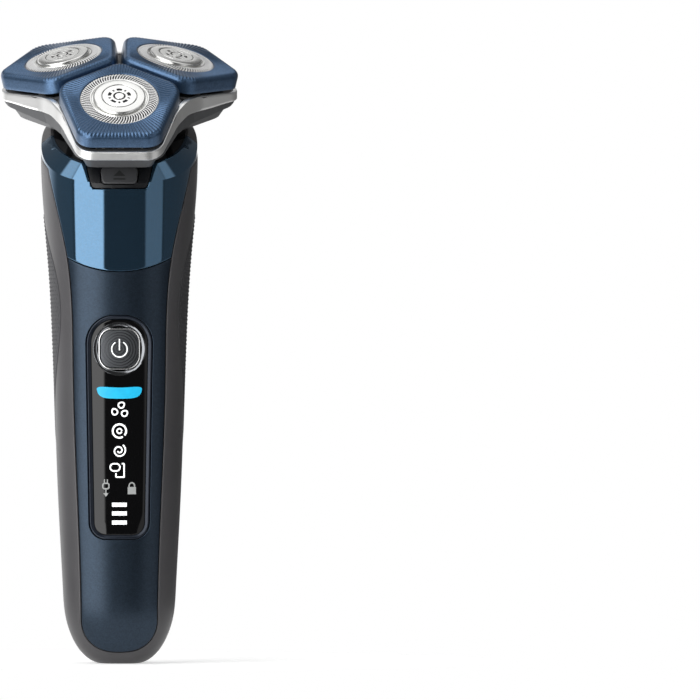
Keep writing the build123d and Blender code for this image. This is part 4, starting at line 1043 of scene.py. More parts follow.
def on_band(edge, climb, inset=0.0):
    """Points of the sloping band, from its edge points (climb 0) to the rim (climb 1)."""
    local = to_head(edge)
    grow = COLLAR_SLOPE * (-COLLAR_DEPTH - local[..., 2])
    depth = np.where(local[..., 1] < 0, COLLAR_SIZES[1], COLLAR_SIZES[2])
    across = local[..., 0] / (COLLAR_SIZES[0] + grow)
    along = local[..., 1] / (depth + grow)
    left = grow * (1 - climb)
    flat = [(COLLAR_SIZES[0] + left - inset) * across, (depth + left - inset) * along,
            -COLLAR_DEPTH - left / COLLAR_SLOPE]
    return from_head(np.stack(flat, axis=-1))


def seam_turn(z, gap):
    """Turn of the seam at a height."""
    seam = smooth_through(SEAM, 400)
    half = form_sizes(z)[0]
    return np.arcsin(np.clip((np.interp(z, seam[:, 1], seam[:, 0]) - gap) / half, 0, 1) ** (FORM_POWER / 2))


def crowded(count, length):
    """Fractions from 0 to 1 that crowd at both ends of a given length in millimetres."""
    near = EDGE_STEPS / length
    return np.r_[near, np.linspace(0.5 / length, 1 - 0.5 / length, count), 1 - near[::-1]]


def index_table(points):
    """Number of every point of a grid, as a table."""
    return np.arange(points.shape[0] * points.shape[1]).reshape(points.shape[:2])


def grid_faces(index):
    """Faces between neighbours of an index table; -1 is a missing point."""
    faces = []
    for low, high in zip(index[:-1], index[1:]):
        for corners in zip(low[:-1], low[1:], high[1:], high[:-1]):
            face = tuple(dict.fromkeys(int(i) for i in corners))
            if min(corners) >= 0 and len(face) > 2:
                faces.append(face)
    return faces


def closed_plate(name, outer, inner, index, finish):
    """Closed solid between an outer and an inner layer of points that share one index table."""
    outer, inner = outer.reshape(-1, 3), inner.reshape(-1, 3)
    faces = grid_faces(index)
    used = sorted({i for face in faces for i in face})
    place = {old: new for new, old in enumerate(used)}
    faces = [tuple(place[i] for i in face) for face in faces]
    count = len(used)
    border = set()
    for face in faces:
        for a, b in zip(face, face[1:] + face[:1]):
            if (b, a) in border:
                border.remove((b, a))
            else:
                border.add((a, b))
    walls = [(a, b, b + count, a + count) for a, b in sorted(border)]
    back = [tuple(i + count for i in reversed(face)) for face in faces]
    return build_object(name, np.vstack([outer[used], inner[used]]), faces + back + walls, finish)


def rolled(points, normals, border, radius=EDGE_ROUND):
    """Sink points near a border line along a quarter circle, which rounds the edge."""
    dense = evenly(border, 6000, closed=False)
    tree = mathutils.kdtree.KDTree(len(dense))
    for i, point in enumerate(dense):
        tree.insert(point, i)
    tree.balance()
    distance = np.array([tree.find(point)[2] for point in points.reshape(-1, 3)]).reshape(points.shape[:-1])
    inside = np.clip(radius - distance, 0, radius)
    sink = radius - np.sqrt(radius * radius - inside * inside)
    return points - sink[..., None] * normals

# %% [markdown]
# ## Upper cover
# The gloss cover wraps round to the sides above a small ledge, and folds over into the sloping band round
# the collar. Its rows end on the seam below the ledge and reach further round above it. The ledge is one
# row all along, so its edge is a clean line, and the rows between share the height out in proportion.

# %% Rows of the upper cover
LEDGE_START = 136.4
LEDGE_END = 141.0
WRAP = -1.12
GLOSS_THICKNESS = 0.8
RIM_WIDTH = 0.78
LOW_ROWS = 26
MIDDLE_COLUMNS = 130
SIDE_COLUMNS = 10
SIDE_LENGTH = 6.5


def wrap_turn(depth, z=142.0):
    """Turn at which the form's side is at a given depth in front of the middle plane."""
    front = form_sizes(z)[1]
    return math.acos((-depth / front) ** (FORM_POWER / 2))


def split_start(turn):
    """Height of the split along the form, for any turn."""
    z = np.full(np.shape(turn), SPLIT_SIDES)
    for _ in range(8):
        x = form_sizes(z)[0] * power(np.sin(turn))
        z = split_height(x, COVER_GAP)
    return z


seam_end = float(seam_turn(LEDGE_START, COVER_GAP))
wrap_end = wrap_turn(WRAP)
crown_at_seam = float(crown_height(np.array([seam_end]))[0])
ledge_share = (LEDGE_START - SPLIT_SIDES - COVER_GAP) / (crown_at_seam - SPLIT_SIDES - COVER_GAP)
print("seam ends at", round(math.degrees(seam_end), 1), "deg, crown there", round(crown_at_seam, 2))


def ledge_height(turn):
    """Height of the ledge, which climbs from the seam to the middle of the side."""
    way = np.clip((np.abs(turn) - seam_end) / (wrap_end - seam_end), 0, 1)
    return LEDGE_START + (LEDGE_END - LEDGE_START) * way


def cover_height(turn, share):
    """Height of an upper cover's row; the ledge lies on one row all along."""
    top = crown_height(turn)
    start = split_start(turn)
    beyond = (ledge_height(turn) - ledge_share * top) / (1 - ledge_share)
    start = np.where(np.abs(turn) > seam_end, beyond, start)
    return start + (top - start) * share


# %% [markdown]
# ## Mesh of the upper cover
# The outer layer is the grid with its border rolled in, the inner one is the same grid pushed in by the
# thickness of the plastic, and the band's rows follow on top of both. The release button's opening has
# rounded corners that no grid follows, so it is cut with a boolean afterwards.

# %% Mesh of the upper cover
def upper_cover_piece():
    """Gloss cover with its wrap and its sloping band, without the release opening."""
    shares_low = crowded(LOW_ROWS, 27.0) * ledge_share
    shares_high = ledge_share + (1 - ledge_share) * np.r_[EDGE_STEPS[1:] / 3.0, np.linspace(0.12, 1, 9)]
    shares = np.r_[shares_low, shares_high]
    across = 2 * crowded(MIDDLE_COLUMNS, 34.0) - 1
    side = crowded(SIDE_COLUMNS, SIDE_LENGTH)[1:]
    rows = []
    for row, share in enumerate(shares):
        if row < len(shares_low):
            z = np.full(1, 120.0)
            for _ in range(12):
                z = cover_height(seam_turn(z, COVER_GAP), share)
            end = float(seam_turn(z, COVER_GAP)[0])
        else:
            end = seam_end
        wings = end + (wrap_end - end) * side
        rows.append(np.r_[-wings[::-1], across * end, wings])
    turns = np.array(rows)
    points = on_form(turns, np.stack([cover_height(turn, share) for turn, share in zip(turns, shares)]))
    normals = skin_normals(points, form_value)
    left, right = len(side), turns.shape[1] - len(side) - 1
    low = len(shares_low) - 1
    border = np.vstack([points[low:, 0][::-1], points[low, :left], points[:low, left][::-1],
                        points[0, left:right], points[:low, right], points[low, right:], points[low:, -1]])
    outer = rolled(points, normals, border)
    inner = points - GLOSS_THICKNESS * normals
    edge = points[-1]
    climbs = (0.012, 0.06, 0.25, 0.45, 0.65, 0.85, 0.95, 1.0)
    band = np.stack([on_band(edge, climb) for climb in climbs])
    band_inner = np.stack([on_band(edge, climb, RIM_WIDTH) for climb in climbs])
    rim = on_band(edge, 1.0, 0.12)[None] + from_head([(0, 0, 0.05)]) - HEAD_ORIGIN
    inner[-1] = on_band(edge, 0.0, RIM_WIDTH)
    outer = np.vstack([outer, band, rim])
    inner = np.vstack([inner, band_inner, band_inner[-1:]])
    index = index_table(outer)
    index[:low, :left] = -1
    index[:low, right + 1:] = -1
    return closed_plate("upper_cover_gloss", outer, inner, index, gloss_paint)


def front_cutter(outline, near=-40.0, far=-11.0):
    """Prism along the depth from a front-view outline, to cut an opening with."""
    loops = [np.column_stack([outline[:, 0], np.full(len(outline), y), outline[:, 1]]) for y in (near, far)]
    count = len(outline)
    faces = ring_faces(2, count) + [tuple(range(count)), tuple(range(2 * count - 1, count - 1, -1))]
    return build_object("cutter", np.vstack(loops), faces, gloss_paint)


def baked(piece):
    """Give an object the plain mesh that its modifiers make, and remove them."""
    seen = piece.evaluated_get(bpy.context.evaluated_depsgraph_get())
    mesh = bpy.data.meshes.new_from_object(seen)
    mesh.name = piece.name
    piece.modifiers.clear()
    piece.data = mesh
    return piece


def cut(piece, cutter):
    """Cut an opening with a boolean, then drop the cutter."""
    modifier = piece.modifiers.new("opening", "BOOLEAN")
    modifier.object = cutter
    modifier.solver = "EXACT"
    modifier.operation = "DIFFERENCE"
    baked(piece)
    bpy.data.objects.remove(cutter)
    return piece


# %% [markdown]
# ## Release button and its housing
# A dark button in a black insert frees the shaving head. The insert bridges the edge of the sloping
# band, so the patch that makes it is laid on the whole skin, band included. The opening in the insert
# leaves the button room to be pressed without rubbing.

# %% Upper cover, housing and release button
HOUSING = [(-7.7, 130.8), (7.7, 130.8), (9.2, 137.4), (-9.2, 137.4)]
HOUSING_CORNERS = [1.3, 1.3, 0.5, 0.5]
HOUSING_SINK = 0.5
RELEASE = [(-4.7, 132.1), (4.7, 132.1), (5.3, 136.7), (-5.3, 136.7)]
RELEASE_CORNERS = [1.2] * 4
RELEASE_CLEARANCE = 0.30
RELEASE_SINK = -0.25
EJECT_HALF = 1.65
EJECT_TOP = 135.8


def trapezium(corners, radii, grow, count=240):
    """Rounded trapezium from its corners, grown all round."""
    return shrunk(from_bottom(rounded(corners, radii, 12), count), -grow)


upper_cover = cut(upper_cover_piece(), front_cutter(trapezium(HOUSING, HOUSING_CORNERS, 0.1)))
settle(upper_cover, "handle", ["upper_cover"])
housing = front_patch("release_housing_insert", trapezium(HOUSING, HOUSING_CORNERS, 0.0),
                      trapezium(RELEASE, RELEASE_CORNERS, RELEASE_CLEARANCE),
                      housing_gloss, HOUSING_SINK, 1.8, 0.15, rings=8)
settle(housing, "handle", ["release_housing"])
release = front_patch("release_button_cap", trapezium(RELEASE, RELEASE_CORNERS, 0.0), None,
                      dark_plastic, RELEASE_SINK, 1.9, 0.35, rings=12)
settle(release, "release", ["release_button"])
rise = np.linspace(EJECT_TOP - EJECT_HALF, EJECT_TOP - 0.05, 8)
half = EJECT_TOP - rise
eject = [(np.column_stack([-half, rise]), np.column_stack([half, rise]), False),
         bar(-EJECT_HALF, EJECT_HALF, 133.15, 133.6)]
settle(symbol_piece("eject_symbol", eject, symbol_ink, RELEASE_SINK - 0.03), "release")

# %% [markdown]
# ## Rear shell
# The grey half-shell holds the foot, the sides and the back. Its rows climb from the flat it stands on;
# below the tip of the cover they are closed rings, above it they stop at the seam. A grid that ends on
# the seam keeps long, even faces, where a boolean would leave slivers that ripple in the light.

# %% Rear shell
SHELL_THICKNESS = 1.8
SHELL_WRAP = -1.0
LEVEL_TOP = 125.0       # above this height the rows bend towards the ledge
REAR_COLUMNS = 170
FOOT_ROWS = 14
SIDE_ROWS = 62
GRIP_EDGE = [(0.0, 124.0), (-10.0, 100.0), (-5.0, 78.2), (10.0, 24.0)]
GRIP_TOP = GRIP_EDGE[0][1]
GRIP_BOTTOM = GRIP_EDGE[-1][1]
GRIP_RECESS = 1.0
GRIP_LAP = 1.3          # how far the rubber's edge lies on the full shell
INLET = (9.0, 6.0, 15.0)    # width, height and place above the foot
INLET_CORNER = 2.0
grip_line = smooth_through(GRIP_EDGE, 600)[::-1]


def shell_rows():
    """Height of every row of the shell on its flat part, and how many of them are closed rings."""
    closed = np.array((0.0, 0.05, 0.2, 0.5, 1.0, 1.7, 2.4, SEAM_FOOT))
    turn = np.linspace(0, math.pi / 2, FOOT_ROWS + 1)[1:]
    opening = SEAM_FOOT + (SEAM[0][1] - SEAM_FOOT) * (1 - np.cos(turn))
    return np.r_[closed, opening, np.linspace(SEAM[0][1], LEVEL_TOP, SIDE_ROWS)[1:]], len(closed)


def shell_start(z):
    """Turn at which a flat row of the shell starts, on the right seam."""
    foot = cover_side(0.0)
    low = z < SEAM[0][1]
    x = np.interp(z, foot[:FOOT_POINTS - 1, 1], foot[:FOOT_POINTS - 1, 0])
    low_turn = np.arcsin(np.clip(x / form_sizes(z)[0], 0, 1) ** (FORM_POWER / 2))
    return np.where(z <= SEAM_FOOT, 0.0, np.where(low, low_turn, seam_turn(z, 0.0)))


def grip_front(z):
    """Depth of the rubber's front edge at a height."""
    return np.interp(z, grip_line[:, 1], grip_line[:, 0])


def in_grip(points, margin):
    """True where the rubber skin covers a point of the form, a margin inside its edge."""
    y, z = points[..., 1], points[..., 2]
    inside = (z > GRIP_BOTTOM + margin) & (z < GRIP_TOP - margin)
    return inside & (y > grip_front(z) + margin)


def rear_shell_piece():
    """Grey shell from the foot to the rim, without the opening of the inlet."""
    seam_top = float(seam_turn(LEDGE_START, 0.0))
    wrap = wrap_turn(SHELL_WRAP)
    wing = (wrap - seam_top) / (2 * math.pi - 2 * seam_top)
    side = crowded(SIDE_COLUMNS, SIDE_LENGTH)[:-1] * wing
    middle = wing + (1 - 2 * wing) * crowded(REAR_COLUMNS, 60.0)
    across = np.r_[side, middle, 1 - side[::-1]]
    left, right = len(side), len(across) - len(side) - 1
    flat, closed = shell_rows()
    starts = shell_start(flat)
    climb = np.r_[np.linspace(0, 1, 9)[1:-1], 1 - EDGE_STEPS[::-1] / 14.0]
    ledge_z = LEVEL_TOP + (LEDGE_START - LEVEL_TOP) * climb
    ledge_starts = seam_turn(ledge_z, 0.0)
    turns = np.array([start + across * (2 * math.pi - 2 * start) for start in np.r_[starts, ledge_starts]])
    top_turn = turns[-1]
    edge_z = crown_height(top_turn)
    turned = np.minimum(top_turn, 2 * math.pi - top_turn)
    lift = ledge_height(turned) - 0.14 + np.where(turned > wrap, 0.6 * (edge_z - edge_z[left]), 0.0)
    heights = [np.full(len(across), z) for z in flat]
    heights += [LEVEL_TOP + (lift - LEVEL_TOP) * share for share in climb]
    ledge_row = len(heights) - 1
    for share in np.r_[EDGE_STEPS[1:] / 10.0, np.linspace(0.1, 1, 7)]:
        heights.append(heights[ledge_row] + (edge_z - heights[ledge_row]) * share)
        turns = np.vstack([turns, top_turn])
    points = on_form(turns, np.array(heights))
    normals = skin_normals(points, form_value)
    border = np.vstack([points[ledge_row:, left][::-1], points[ledge_row, :left][::-1],
                        points[closed:ledge_row, 0][::-1], points[closed:ledge_row, -1],
                        points[ledge_row, right:][::-1], points[ledge_row:, right]])
    outer = rolled(points, normals, border)
    outer = outer - GRIP_RECESS * in_grip(points, GRIP_LAP)[..., None] * normals
    inner = points - SHELL_THICKNESS * normals
    edge = points[-1]
    climbs = (0.2, 0.6, 1.0)
    inner[-1] = on_band(edge, 0.0, RIM_WIDTH)
    cap = [points[0] * (share, share, 1) for share in (0.0, 0.35, 0.7, 0.92)]
    cap_inner = [ring + (0, 0, SHELL_THICKNESS) for ring in cap]
    outer = np.vstack([cap, outer, [on_band(edge, climb) for climb in climbs]])
    inner = np.vstack([cap_inner, inner, [on_band(edge, climb, RIM_WIDTH) for climb in climbs]])
    index = index_table(outer)
    index[0, :] = index[0, 0]
    index[:closed + len(cap), -1] = index[:closed + len(cap), 0]
    index[ledge_row + len(cap) + 1:, :left] = -1
    index[ledge_row + len(cap) + 1:, right + 1:] = -1
    return closed_plate("rear_shell_grey", outer, inner, index, shell_plastic)


def inlet_outline(grow):
    """Rounded opening of the charging inlet, seen from behind."""
    width, height, z = INLET
    half_x, half_z = width / 2 + grow, height / 2 + grow
    return from_bottom(rounded_box(-half_x, half_x, z - half_z, z + half_z, INLET_CORNER, 10), 120)


rear_shell = cut(rear_shell_piece(), front_cutter(inlet_outline(0.12), 4.0, 30.0))
settle(rear_shell, "handle", ["rear_shell"])

# %% [markdown]
# ## Rubber grip
# The rubber is moulded over the shell in a shallow recess, so it stands only a little proud. It's a grid
# of its own on the same form, with its border rolled in a little further than the shell's.

# %% Grip skin
GRIP_COLUMNS = 120
GRIP_ROWS = 90
GRIP_PROUD = 0.12
GRIP_DEPTH = 0.85
GRIP_ROUND = 0.25


def grip_turn(z):
    """Turn at which the rubber starts, on the right side."""
    y = grip_front(z)
    front, back = form_sizes(z)[1:]
    ahead = np.arccos((np.abs(np.minimum(y, 0)) / front) ** (FORM_POWER / 2))
    behind = np.pi - np.arccos((np.abs(np.maximum(y, 0)) / back) ** (FORM_POWER / 2))
    return np.where(y < 0, ahead, behind)


def grip_piece():
    """Rubber skin with rolled edges."""
    z = GRIP_BOTTOM + (GRIP_TOP - GRIP_BOTTOM) * crowded(GRIP_ROWS, 100.0)
    start = grip_turn(z)[:, None]
    turns = start + crowded(GRIP_COLUMNS, 60.0) * (2 * math.pi - 2 * start)
    points = on_form(turns, np.repeat(z[:, None], turns.shape[1], axis=1))
    normals = skin_normals(points, form_value)
    border = np.vstack([points[0], points[:, -1], points[-1][::-1], points[:, 0][::-1]])
    outer = rolled(points + GRIP_PROUD * normals, normals, border, GRIP_ROUND)
    inner = points - GRIP_DEPTH * normals
    return closed_plate("rear_grip_rubber", outer, inner, index_table(points), grip_rubber)


settle(grip_piece(), "handle", ["rear_grip"])

# %% [markdown]
# ## Node trees
# Dots, ribs and slots repeat hundreds of times, so Geometry Nodes make them: one small form, and a rule
# for where it goes. Each tree has named inputs for its sizes. The three helpers below start a tree, end
# it, and run it on an object, whose result is kept as a plain mesh.

# %% Helpers for node trees
def geometry_tree(name, **inputs):
    """New tree with named inputs; returns it, the inputs' outlets and the inputs' identifiers."""
    tree = bpy.data.node_groups.new(name, "GeometryNodeTree")
    tree.interface.new_socket(name="Geometry", in_out="OUTPUT", socket_type="NodeSocketGeometry")
    tree.interface.new_socket(name="Geometry", in_out="INPUT", socket_type="NodeSocketGeometry")
    keys = {}
    for label, value in inputs.items():
        kind = "NodeSocketInt" if isinstance(value, int) else "NodeSocketFloat"
        socket = tree.interface.new_socket(name=label.replace("_", " "), in_out="INPUT", socket_type=kind)
        socket.default_value = value
        keys[label] = socket.identifier
    return tree, add(tree, "NodeGroupInput").outputs, keys


def end_tree(tree, geometry, finish):
    """Make a tree's instances real, give them their finish and hand them out."""
    real = add(tree, "GeometryNodeRealizeInstances", {"Geometry": geometry})
    painted = add(tree, "GeometryNodeSetMaterial", {"Geometry": real.outputs["Geometry"], "Material": finish})
    add(tree, "NodeGroupOutput", {"Geometry": painted.outputs["Geometry"]})


def run_tree(carrier, tree, keys, **values):
    """Run a tree on an object with the given inputs and keep the result as its mesh."""
    modifier = carrier.modifiers.new(tree.name, "NODES")
    modifier.node_group = tree
    for label, value in values.items():
        modifier[keys[label]] = value
    return baked(carrier)


def empty_object(name, points=()):
    """Object with loose points, for a tree to work on."""
    mesh = bpy.data.meshes.new(name)
    mesh.from_pydata(np.asarray(points).reshape(-1, 3) * MM, [], [])
    made = bpy.data.objects.new(name, mesh)
    bpy.context.scene.collection.objects.link(made)
    return made


def set_attribute(mesh, name, kind, values):
    """Store a value for every point of a mesh."""
    field = "vector" if kind == "FLOAT_VECTOR" else "value"
    mesh.attributes.new(name, kind, "POINT").data.foreach_set(field, np.ravel(values).astype(np.float32))

# %% [markdown]
# ## Dots on the grip
# Fine round dots make the rubber safe to hold with wet hands, and they fade out towards the foot. A bump
# texture would be cheaper, but the dots break the outline of the handle, so they have to be real. The
# tree puts a blunt cone on every point, turned to face outwards and scaled by the point's own size.

# %% Dots on the grip
DOT_PITCH = 1.3
DOT_RADIUS = 0.38
DOT_HEIGHT = 0.14
DOT_SUNK = 0.04
FADE_TOP, FADE_BOTTOM = 88.0, 64.0
LINE_STEP = 0.02
EDGE_MARGIN = round(0.7 / LINE_STEP)


def dot_places():
    """Staggered rows of points round the grip, and their size."""
    places, sizes = [], []
    row_step = DOT_PITCH * math.sqrt(3) / 2
    dense = np.linspace(0, 2 * math.pi, 2000)
    for row in range(int((GRIP_TOP - FADE_BOTTOM) / row_step)):
        z = GRIP_TOP - 1.0 - row * row_step
        start = float(grip_turn(np.array([z]))[0])
        line = on_form(dense[(dense > start) & (dense < 2 * math.pi - start)], z)
        length = np.linalg.norm(np.diff(line, axis=0), axis=1).sum()
        back = evenly(line, int(length / LINE_STEP), closed=False)
        step = round(DOT_PITCH / LINE_STEP)
        first = len(back) // 2 + (step // 2 if row % 2 else 0)
        chosen = np.r_[np.arange(first, EDGE_MARGIN, -step)[::-1][:-1],
                       np.arange(first, len(back) - EDGE_MARGIN, step)]
        size = np.clip((z - FADE_BOTTOM) / (FADE_TOP - FADE_BOTTOM), 0.0, 1.0)
        if size > 0.25:
            places.append(back[chosen])
            sizes.append(np.full(len(chosen), size))
    return np.vstack(places), np.concatenate(sizes)


def dot_tree(finish):
    """Tree that puts a blunt cone on every point, facing outwards."""
    tree, given, keys = geometry_tree("grip_dots_tree", Dot_radius=0.001, Dot_height=0.001)
    tip = add(tree, "ShaderNodeMath", {0: given["Dot radius"], 1: 0.55}, operation="MULTIPLY")
    dot = add(tree, "GeometryNodeMeshCone", {
        "Radius Bottom": given["Dot radius"], "Radius Top": tip.outputs[0], "Depth": given["Dot height"],
        "Vertices": 8, "Side Segments": 1})
    out = add(tree, "GeometryNodeInputNamedAttribute", {"Name": "facing"}, data_type="FLOAT_VECTOR")
    size = add(tree, "GeometryNodeInputNamedAttribute", {"Name": "size"}, data_type="FLOAT")
    turned = add(tree, "FunctionNodeAlignEulerToVector", {"Vector": out.outputs["Attribute"]}, axis="Z")
    placed = add(tree, "GeometryNodeInstanceOnPoints", {
        "Points": given["Geometry"], "Instance": dot.outputs["Mesh"], "Rotation": turned.outputs["Rotation"],
        "Scale": size.outputs["Attribute"]})
    end_tree(tree, placed.outputs["Instances"], finish)
    return tree, keys


places, sizes = dot_places()
facing = skin_normals(places, form_value)
dots = empty_object("grip_dots", places + (GRIP_PROUD - DOT_SUNK) * facing)
set_attribute(dots.data, "facing", "FLOAT_VECTOR", facing)
set_attribute(dots.data, "size", "FLOAT", sizes)
run_tree(dots, *dot_tree(grip_rubber), Dot_radius=DOT_RADIUS * MM, Dot_height=DOT_HEIGHT * MM)
settle(dots, "handle")
print("dots:", len(places))

# %% [markdown]
# ## Petals of the shaving head
# Each of the three petals is a lacquered moulding that carries one ring. An extruded outline with a
# bevel would do for its shape, but the ribs need rows of points that run towards the ring. So it is made
# flat, round its own ring: loops run from the ring's opening over the face, round the edge, down the
# skirt and back inside, which closes the wall. Then the petal is tilted into its place.

# %% Petal outline
HEAD_SIDES = {"front": -90.0, "right": 30.0, "left": 150.0}
PETAL_TILT = math.radians(14.4)
RING_DISTANCE = 18.5
PETAL_GAP = 1.4
PETAL_HALF = 17.5
PETAL_LENGTH = 34.3
PETAL_END_HALF = 11.0
PETAL_HEIGHT = 4.6
PETAL_EDGE = 1.5
PETAL_WALL = 0.9
PETAL_FACE = 1.1
PETAL_CORNERS = (4.2, 5.5, 5.0, 5.0, 5.5)
# the inner wall has sharper corners towards the middle, where the gimbal needs the room
INNER_CORNERS = (3.0, 3.0, 5.0, 5.0, 3.0)
SKIRT_EDGE = 0.25
RING_EDGE = 0.2
CAP_RADIUS = 10.7
PETAL_POINTS = 832


def circle_points(radius, steps):
    """Even points round the middle."""
    turn = np.linspace(0, 2 * math.pi, steps, endpoint=False)
    return radius * np.column_stack([np.cos(turn), np.sin(turn)])


def petal_outline(radii):
    """Outline of a petal round its ring's middle, at even angles."""
    reach = math.cos(PETAL_TILT) * math.sin(math.radians(60))
    inner = PETAL_GAP / reach
    corner = (PETAL_GAP + PETAL_HALF / 2) / reach
    corners = [(inner, 0), (corner, -PETAL_HALF), (PETAL_LENGTH, -PETAL_END_HALF),
               (PETAL_LENGTH, PETAL_END_HALF), (corner, PETAL_HALF)]
    dense = evenly(rounded(corners, radii, 20), 6000) - (RING_DISTANCE, 0)
    angle = np.unwrap(np.arctan2(dense[:, 1], dense[:, 0]))
    wanted = np.linspace(0, 2 * math.pi, PETAL_POINTS, endpoint=False)
    order = np.argsort(angle % (2 * math.pi))
    angle, dense = (angle % (2 * math.pi))[order], dense[order]
    return np.column_stack([np.interp(wanted, angle, dense[:, k], period=2 * math.pi) for k in (0, 1)])


def quarter(start, steps):
    """Sines and cosines along a quarter circle, from a given step on."""
    turn = np.linspace(0, math.pi / 2, steps)[start:]
    return list(zip(np.sin(turn), np.cos(turn)))


def petal_shape():
    """Points and loop count of a petal in its own frame, face at zero height."""
    outline = petal_outline(PETAL_CORNERS)
    unit = circle_points(1.0, PETAL_POINTS)
    hole = CAP_RADIUS + 0.1
    loops = [(unit * hole, -PETAL_FACE)]
    loops += [(unit * (hole + RING_EDGE * (1 - c)), -RING_EDGE * (1 - s)) for s, c in quarter(0, 4)]
    face_edge = shrunk(outline, PETAL_EDGE)
    start = unit * (hole + RING_EDGE)
    loops += [(start + (face_edge - start) * step / 22, 0.0) for step in range(1, 22)]
    loops += [(shrunk(outline, PETAL_EDGE * (1 - s)), -PETAL_EDGE * (1 - c)) for s, c in quarter(0, 9)]
    loops += [(outline, height) for height in (-2.5, -3.5, SKIRT_EDGE - PETAL_HEIGHT)]
    loops += [(shrunk(outline, SKIRT_EDGE * (1 - c)), SKIRT_EDGE * (1 - s) - PETAL_HEIGHT)
              for s, c in quarter(1, 4)]
    sharper = petal_outline(INNER_CORNERS)
    within = shrunk(sharper, PETAL_WALL)
    loops += [(within, -PETAL_HEIGHT), (within, -2.0)]
    within = shrunk(sharper, PETAL_EDGE + 0.1)
    loops.append((within, -PETAL_FACE))
    ceiling = unit * hole
    loops += [(within + (ceiling - within) * step / 4, -PETAL_FACE) for step in range(1, 4)]
    points = np.vstack([np.column_stack([loop, np.full(PETAL_POINTS, height)]) for loop, height in loops])
    return points, len(loops)


def petal_axes(side):
    """World directions of a petal's own axes: outwards, sideways and up."""
    c, s = math.cos(math.radians(HEAD_SIDES[side])), math.sin(math.radians(HEAD_SIDES[side]))
    flat, steep = math.cos(PETAL_TILT), math.sin(PETAL_TILT)
    return np.array([(flat * c, flat * s, -steep), (-s, c, 0), (steep * c, steep * s, flat)]) @ HEAD_AXES


def place_on_petal(made, side):
    """Move a piece from its ring's own frame to its place on the head."""
    axes = petal_axes(side)
    middle = (HEAD_ORIGIN + RING_DISTANCE * axes[0]) * MM
    matrix = mathutils.Matrix([[*axes[:, row], middle[row]] for row in range(3)] + [[0, 0, 0, 1]])
    made.data.transform(matrix)
    return made


# %% [markdown]
# ## Ribs round the ring
# Fine radial ribs round each ring stretch the skin while it's shaved. They are a change of height and
# not separate bars, so the tree moves the petal's own points by a wave of their angle. A weight on every
# point keeps the ribs on the face and lets them fade in beside the ring.

# %% Ribs round the ring
RIB_COUNT = 104
RIB_HEIGHT = 0.09
RIB_REACH = 0.9         # depth under the face over which the ribs fade out


def rib_tree(finish):
    """Tree that raises radial ribs where a point's own weight allows."""
    tree, given, keys = geometry_tree("petal_ribs", Rib_count=60.0, Rib_height=0.0001)
    spot = add(tree, "GeometryNodeInputPosition")
    place = add(tree, "ShaderNodeSeparateXYZ", {"Vector": spot.outputs["Position"]})
    angle = add(tree, "ShaderNodeMath", {0: place.outputs["Y"], 1: place.outputs["X"]}, operation="ARCTAN2")
    phase = add(tree, "ShaderNodeMath", {0: angle.outputs[0], 1: given["Rib count"]}, operation="MULTIPLY")
    wave = add(tree, "ShaderNodeMath", {0: phase.outputs[0]}, operation="COSINE")
    weight = add(tree, "GeometryNodeInputNamedAttribute", {"Name": "rib_weight"}, data_type="FLOAT")
    share = add(tree, "ShaderNodeMath", {0: wave.outputs[0], 1: weight.outputs["Attribute"]},
                operation="MULTIPLY")
    rise = add(tree, "ShaderNodeMath", {0: share.outputs[0], 1: given["Rib height"]}, operation="MULTIPLY")
    shift = add(tree, "ShaderNodeCombineXYZ", {"Z": rise.outputs[0]})
    moved = add(tree, "GeometryNodeSetPosition",
                {"Geometry": given["Geometry"], "Offset": shift.outputs["Vector"]})
    end_tree(tree, moved.outputs["Geometry"], finish)
    return tree, keys


def rib_weight(mesh):
    """Weight of every point: full on the face beside the ring, none on the skirt."""
    where = np.array([vertex.co for vertex in mesh.vertices]) / MM
    beside = np.clip((np.hypot(where[:, 0], where[:, 1]) - CAP_RADIUS - 0.25) / 0.4, 0, 1)
    return beside * np.clip((where[:, 2] + RIB_REACH) / RIB_REACH, 0, 1)


ribs = rib_tree(petal_paint)
petal_points, petal_loops = petal_shape()
petal_faces = ring_faces(petal_loops, PETAL_POINTS, closed_stack=True)
for side in HEAD_SIDES:
    petal = build_object(f"petal_{side}_lacquered", petal_points, petal_faces, petal_paint, 40)
    set_attribute(petal.data, "rib_weight", "FLOAT", rib_weight(petal.data))
    run_tree(petal, *ribs, Rib_count=float(RIB_COUNT), Rib_height=RIB_HEIGHT * MM)
    settle(place_on_petal(petal, side), f"petal_{side}", [f"petal_{side}"])

# %% [markdown]
# ## Slotted caps
# A cap is deep-drawn steel: a rim cut through by slanted slots, a groove, and a raised disc with a
# stamped badge. It is round, so its disc and its rim are lathe profiles, lists of radius and height that
# are turned once round the middle. Under the slots lies a black ring: painted shade, which stands in
# for the shade deep in the slots.

# %% Turned parts of a cap
LATHE_STEPS = 180
CAP_PROFILE = [
    (8.25, -0.25), (8.25, 0.18), (8.13, 0.30), (7.78, 0.30), (7.66, 0.22), (7.6, -0.2), (7.24, -0.2),
    (7.2, 0.55), (7.12, 0.74), (6.95, 0.86), (6.7, 0.92), (5.9, 1.0), (5.1, 1.04), (4.95, 1.02),
    (4.85, 0.94), (4.8, 0.62), (3.0, 0.62), (1.2, 0.62), (0.0, 0.62), (0.0, 0.1), (3.0, 0.1), (6.6, 0.1),
    (7.0, -0.7), (7.9, -0.7),
]
# black ring under the slots: painted shade that stands in for the shade deep in the slots
SLOT_SHADE_PROFILE = [(8.0, -0.26), (9.6, -0.26), (10.1, -0.36), (10.3, -0.6), (10.2, -0.8), (8.0, -0.8)]
RIM_PROFILE = [(10.7, -0.42), (10.66, -0.3), (10.5, -0.26), (10.3, -0.3), (10.25, -0.7),
               (11.3, -1.15), (11.3, -0.6), (10.7, -0.6)]


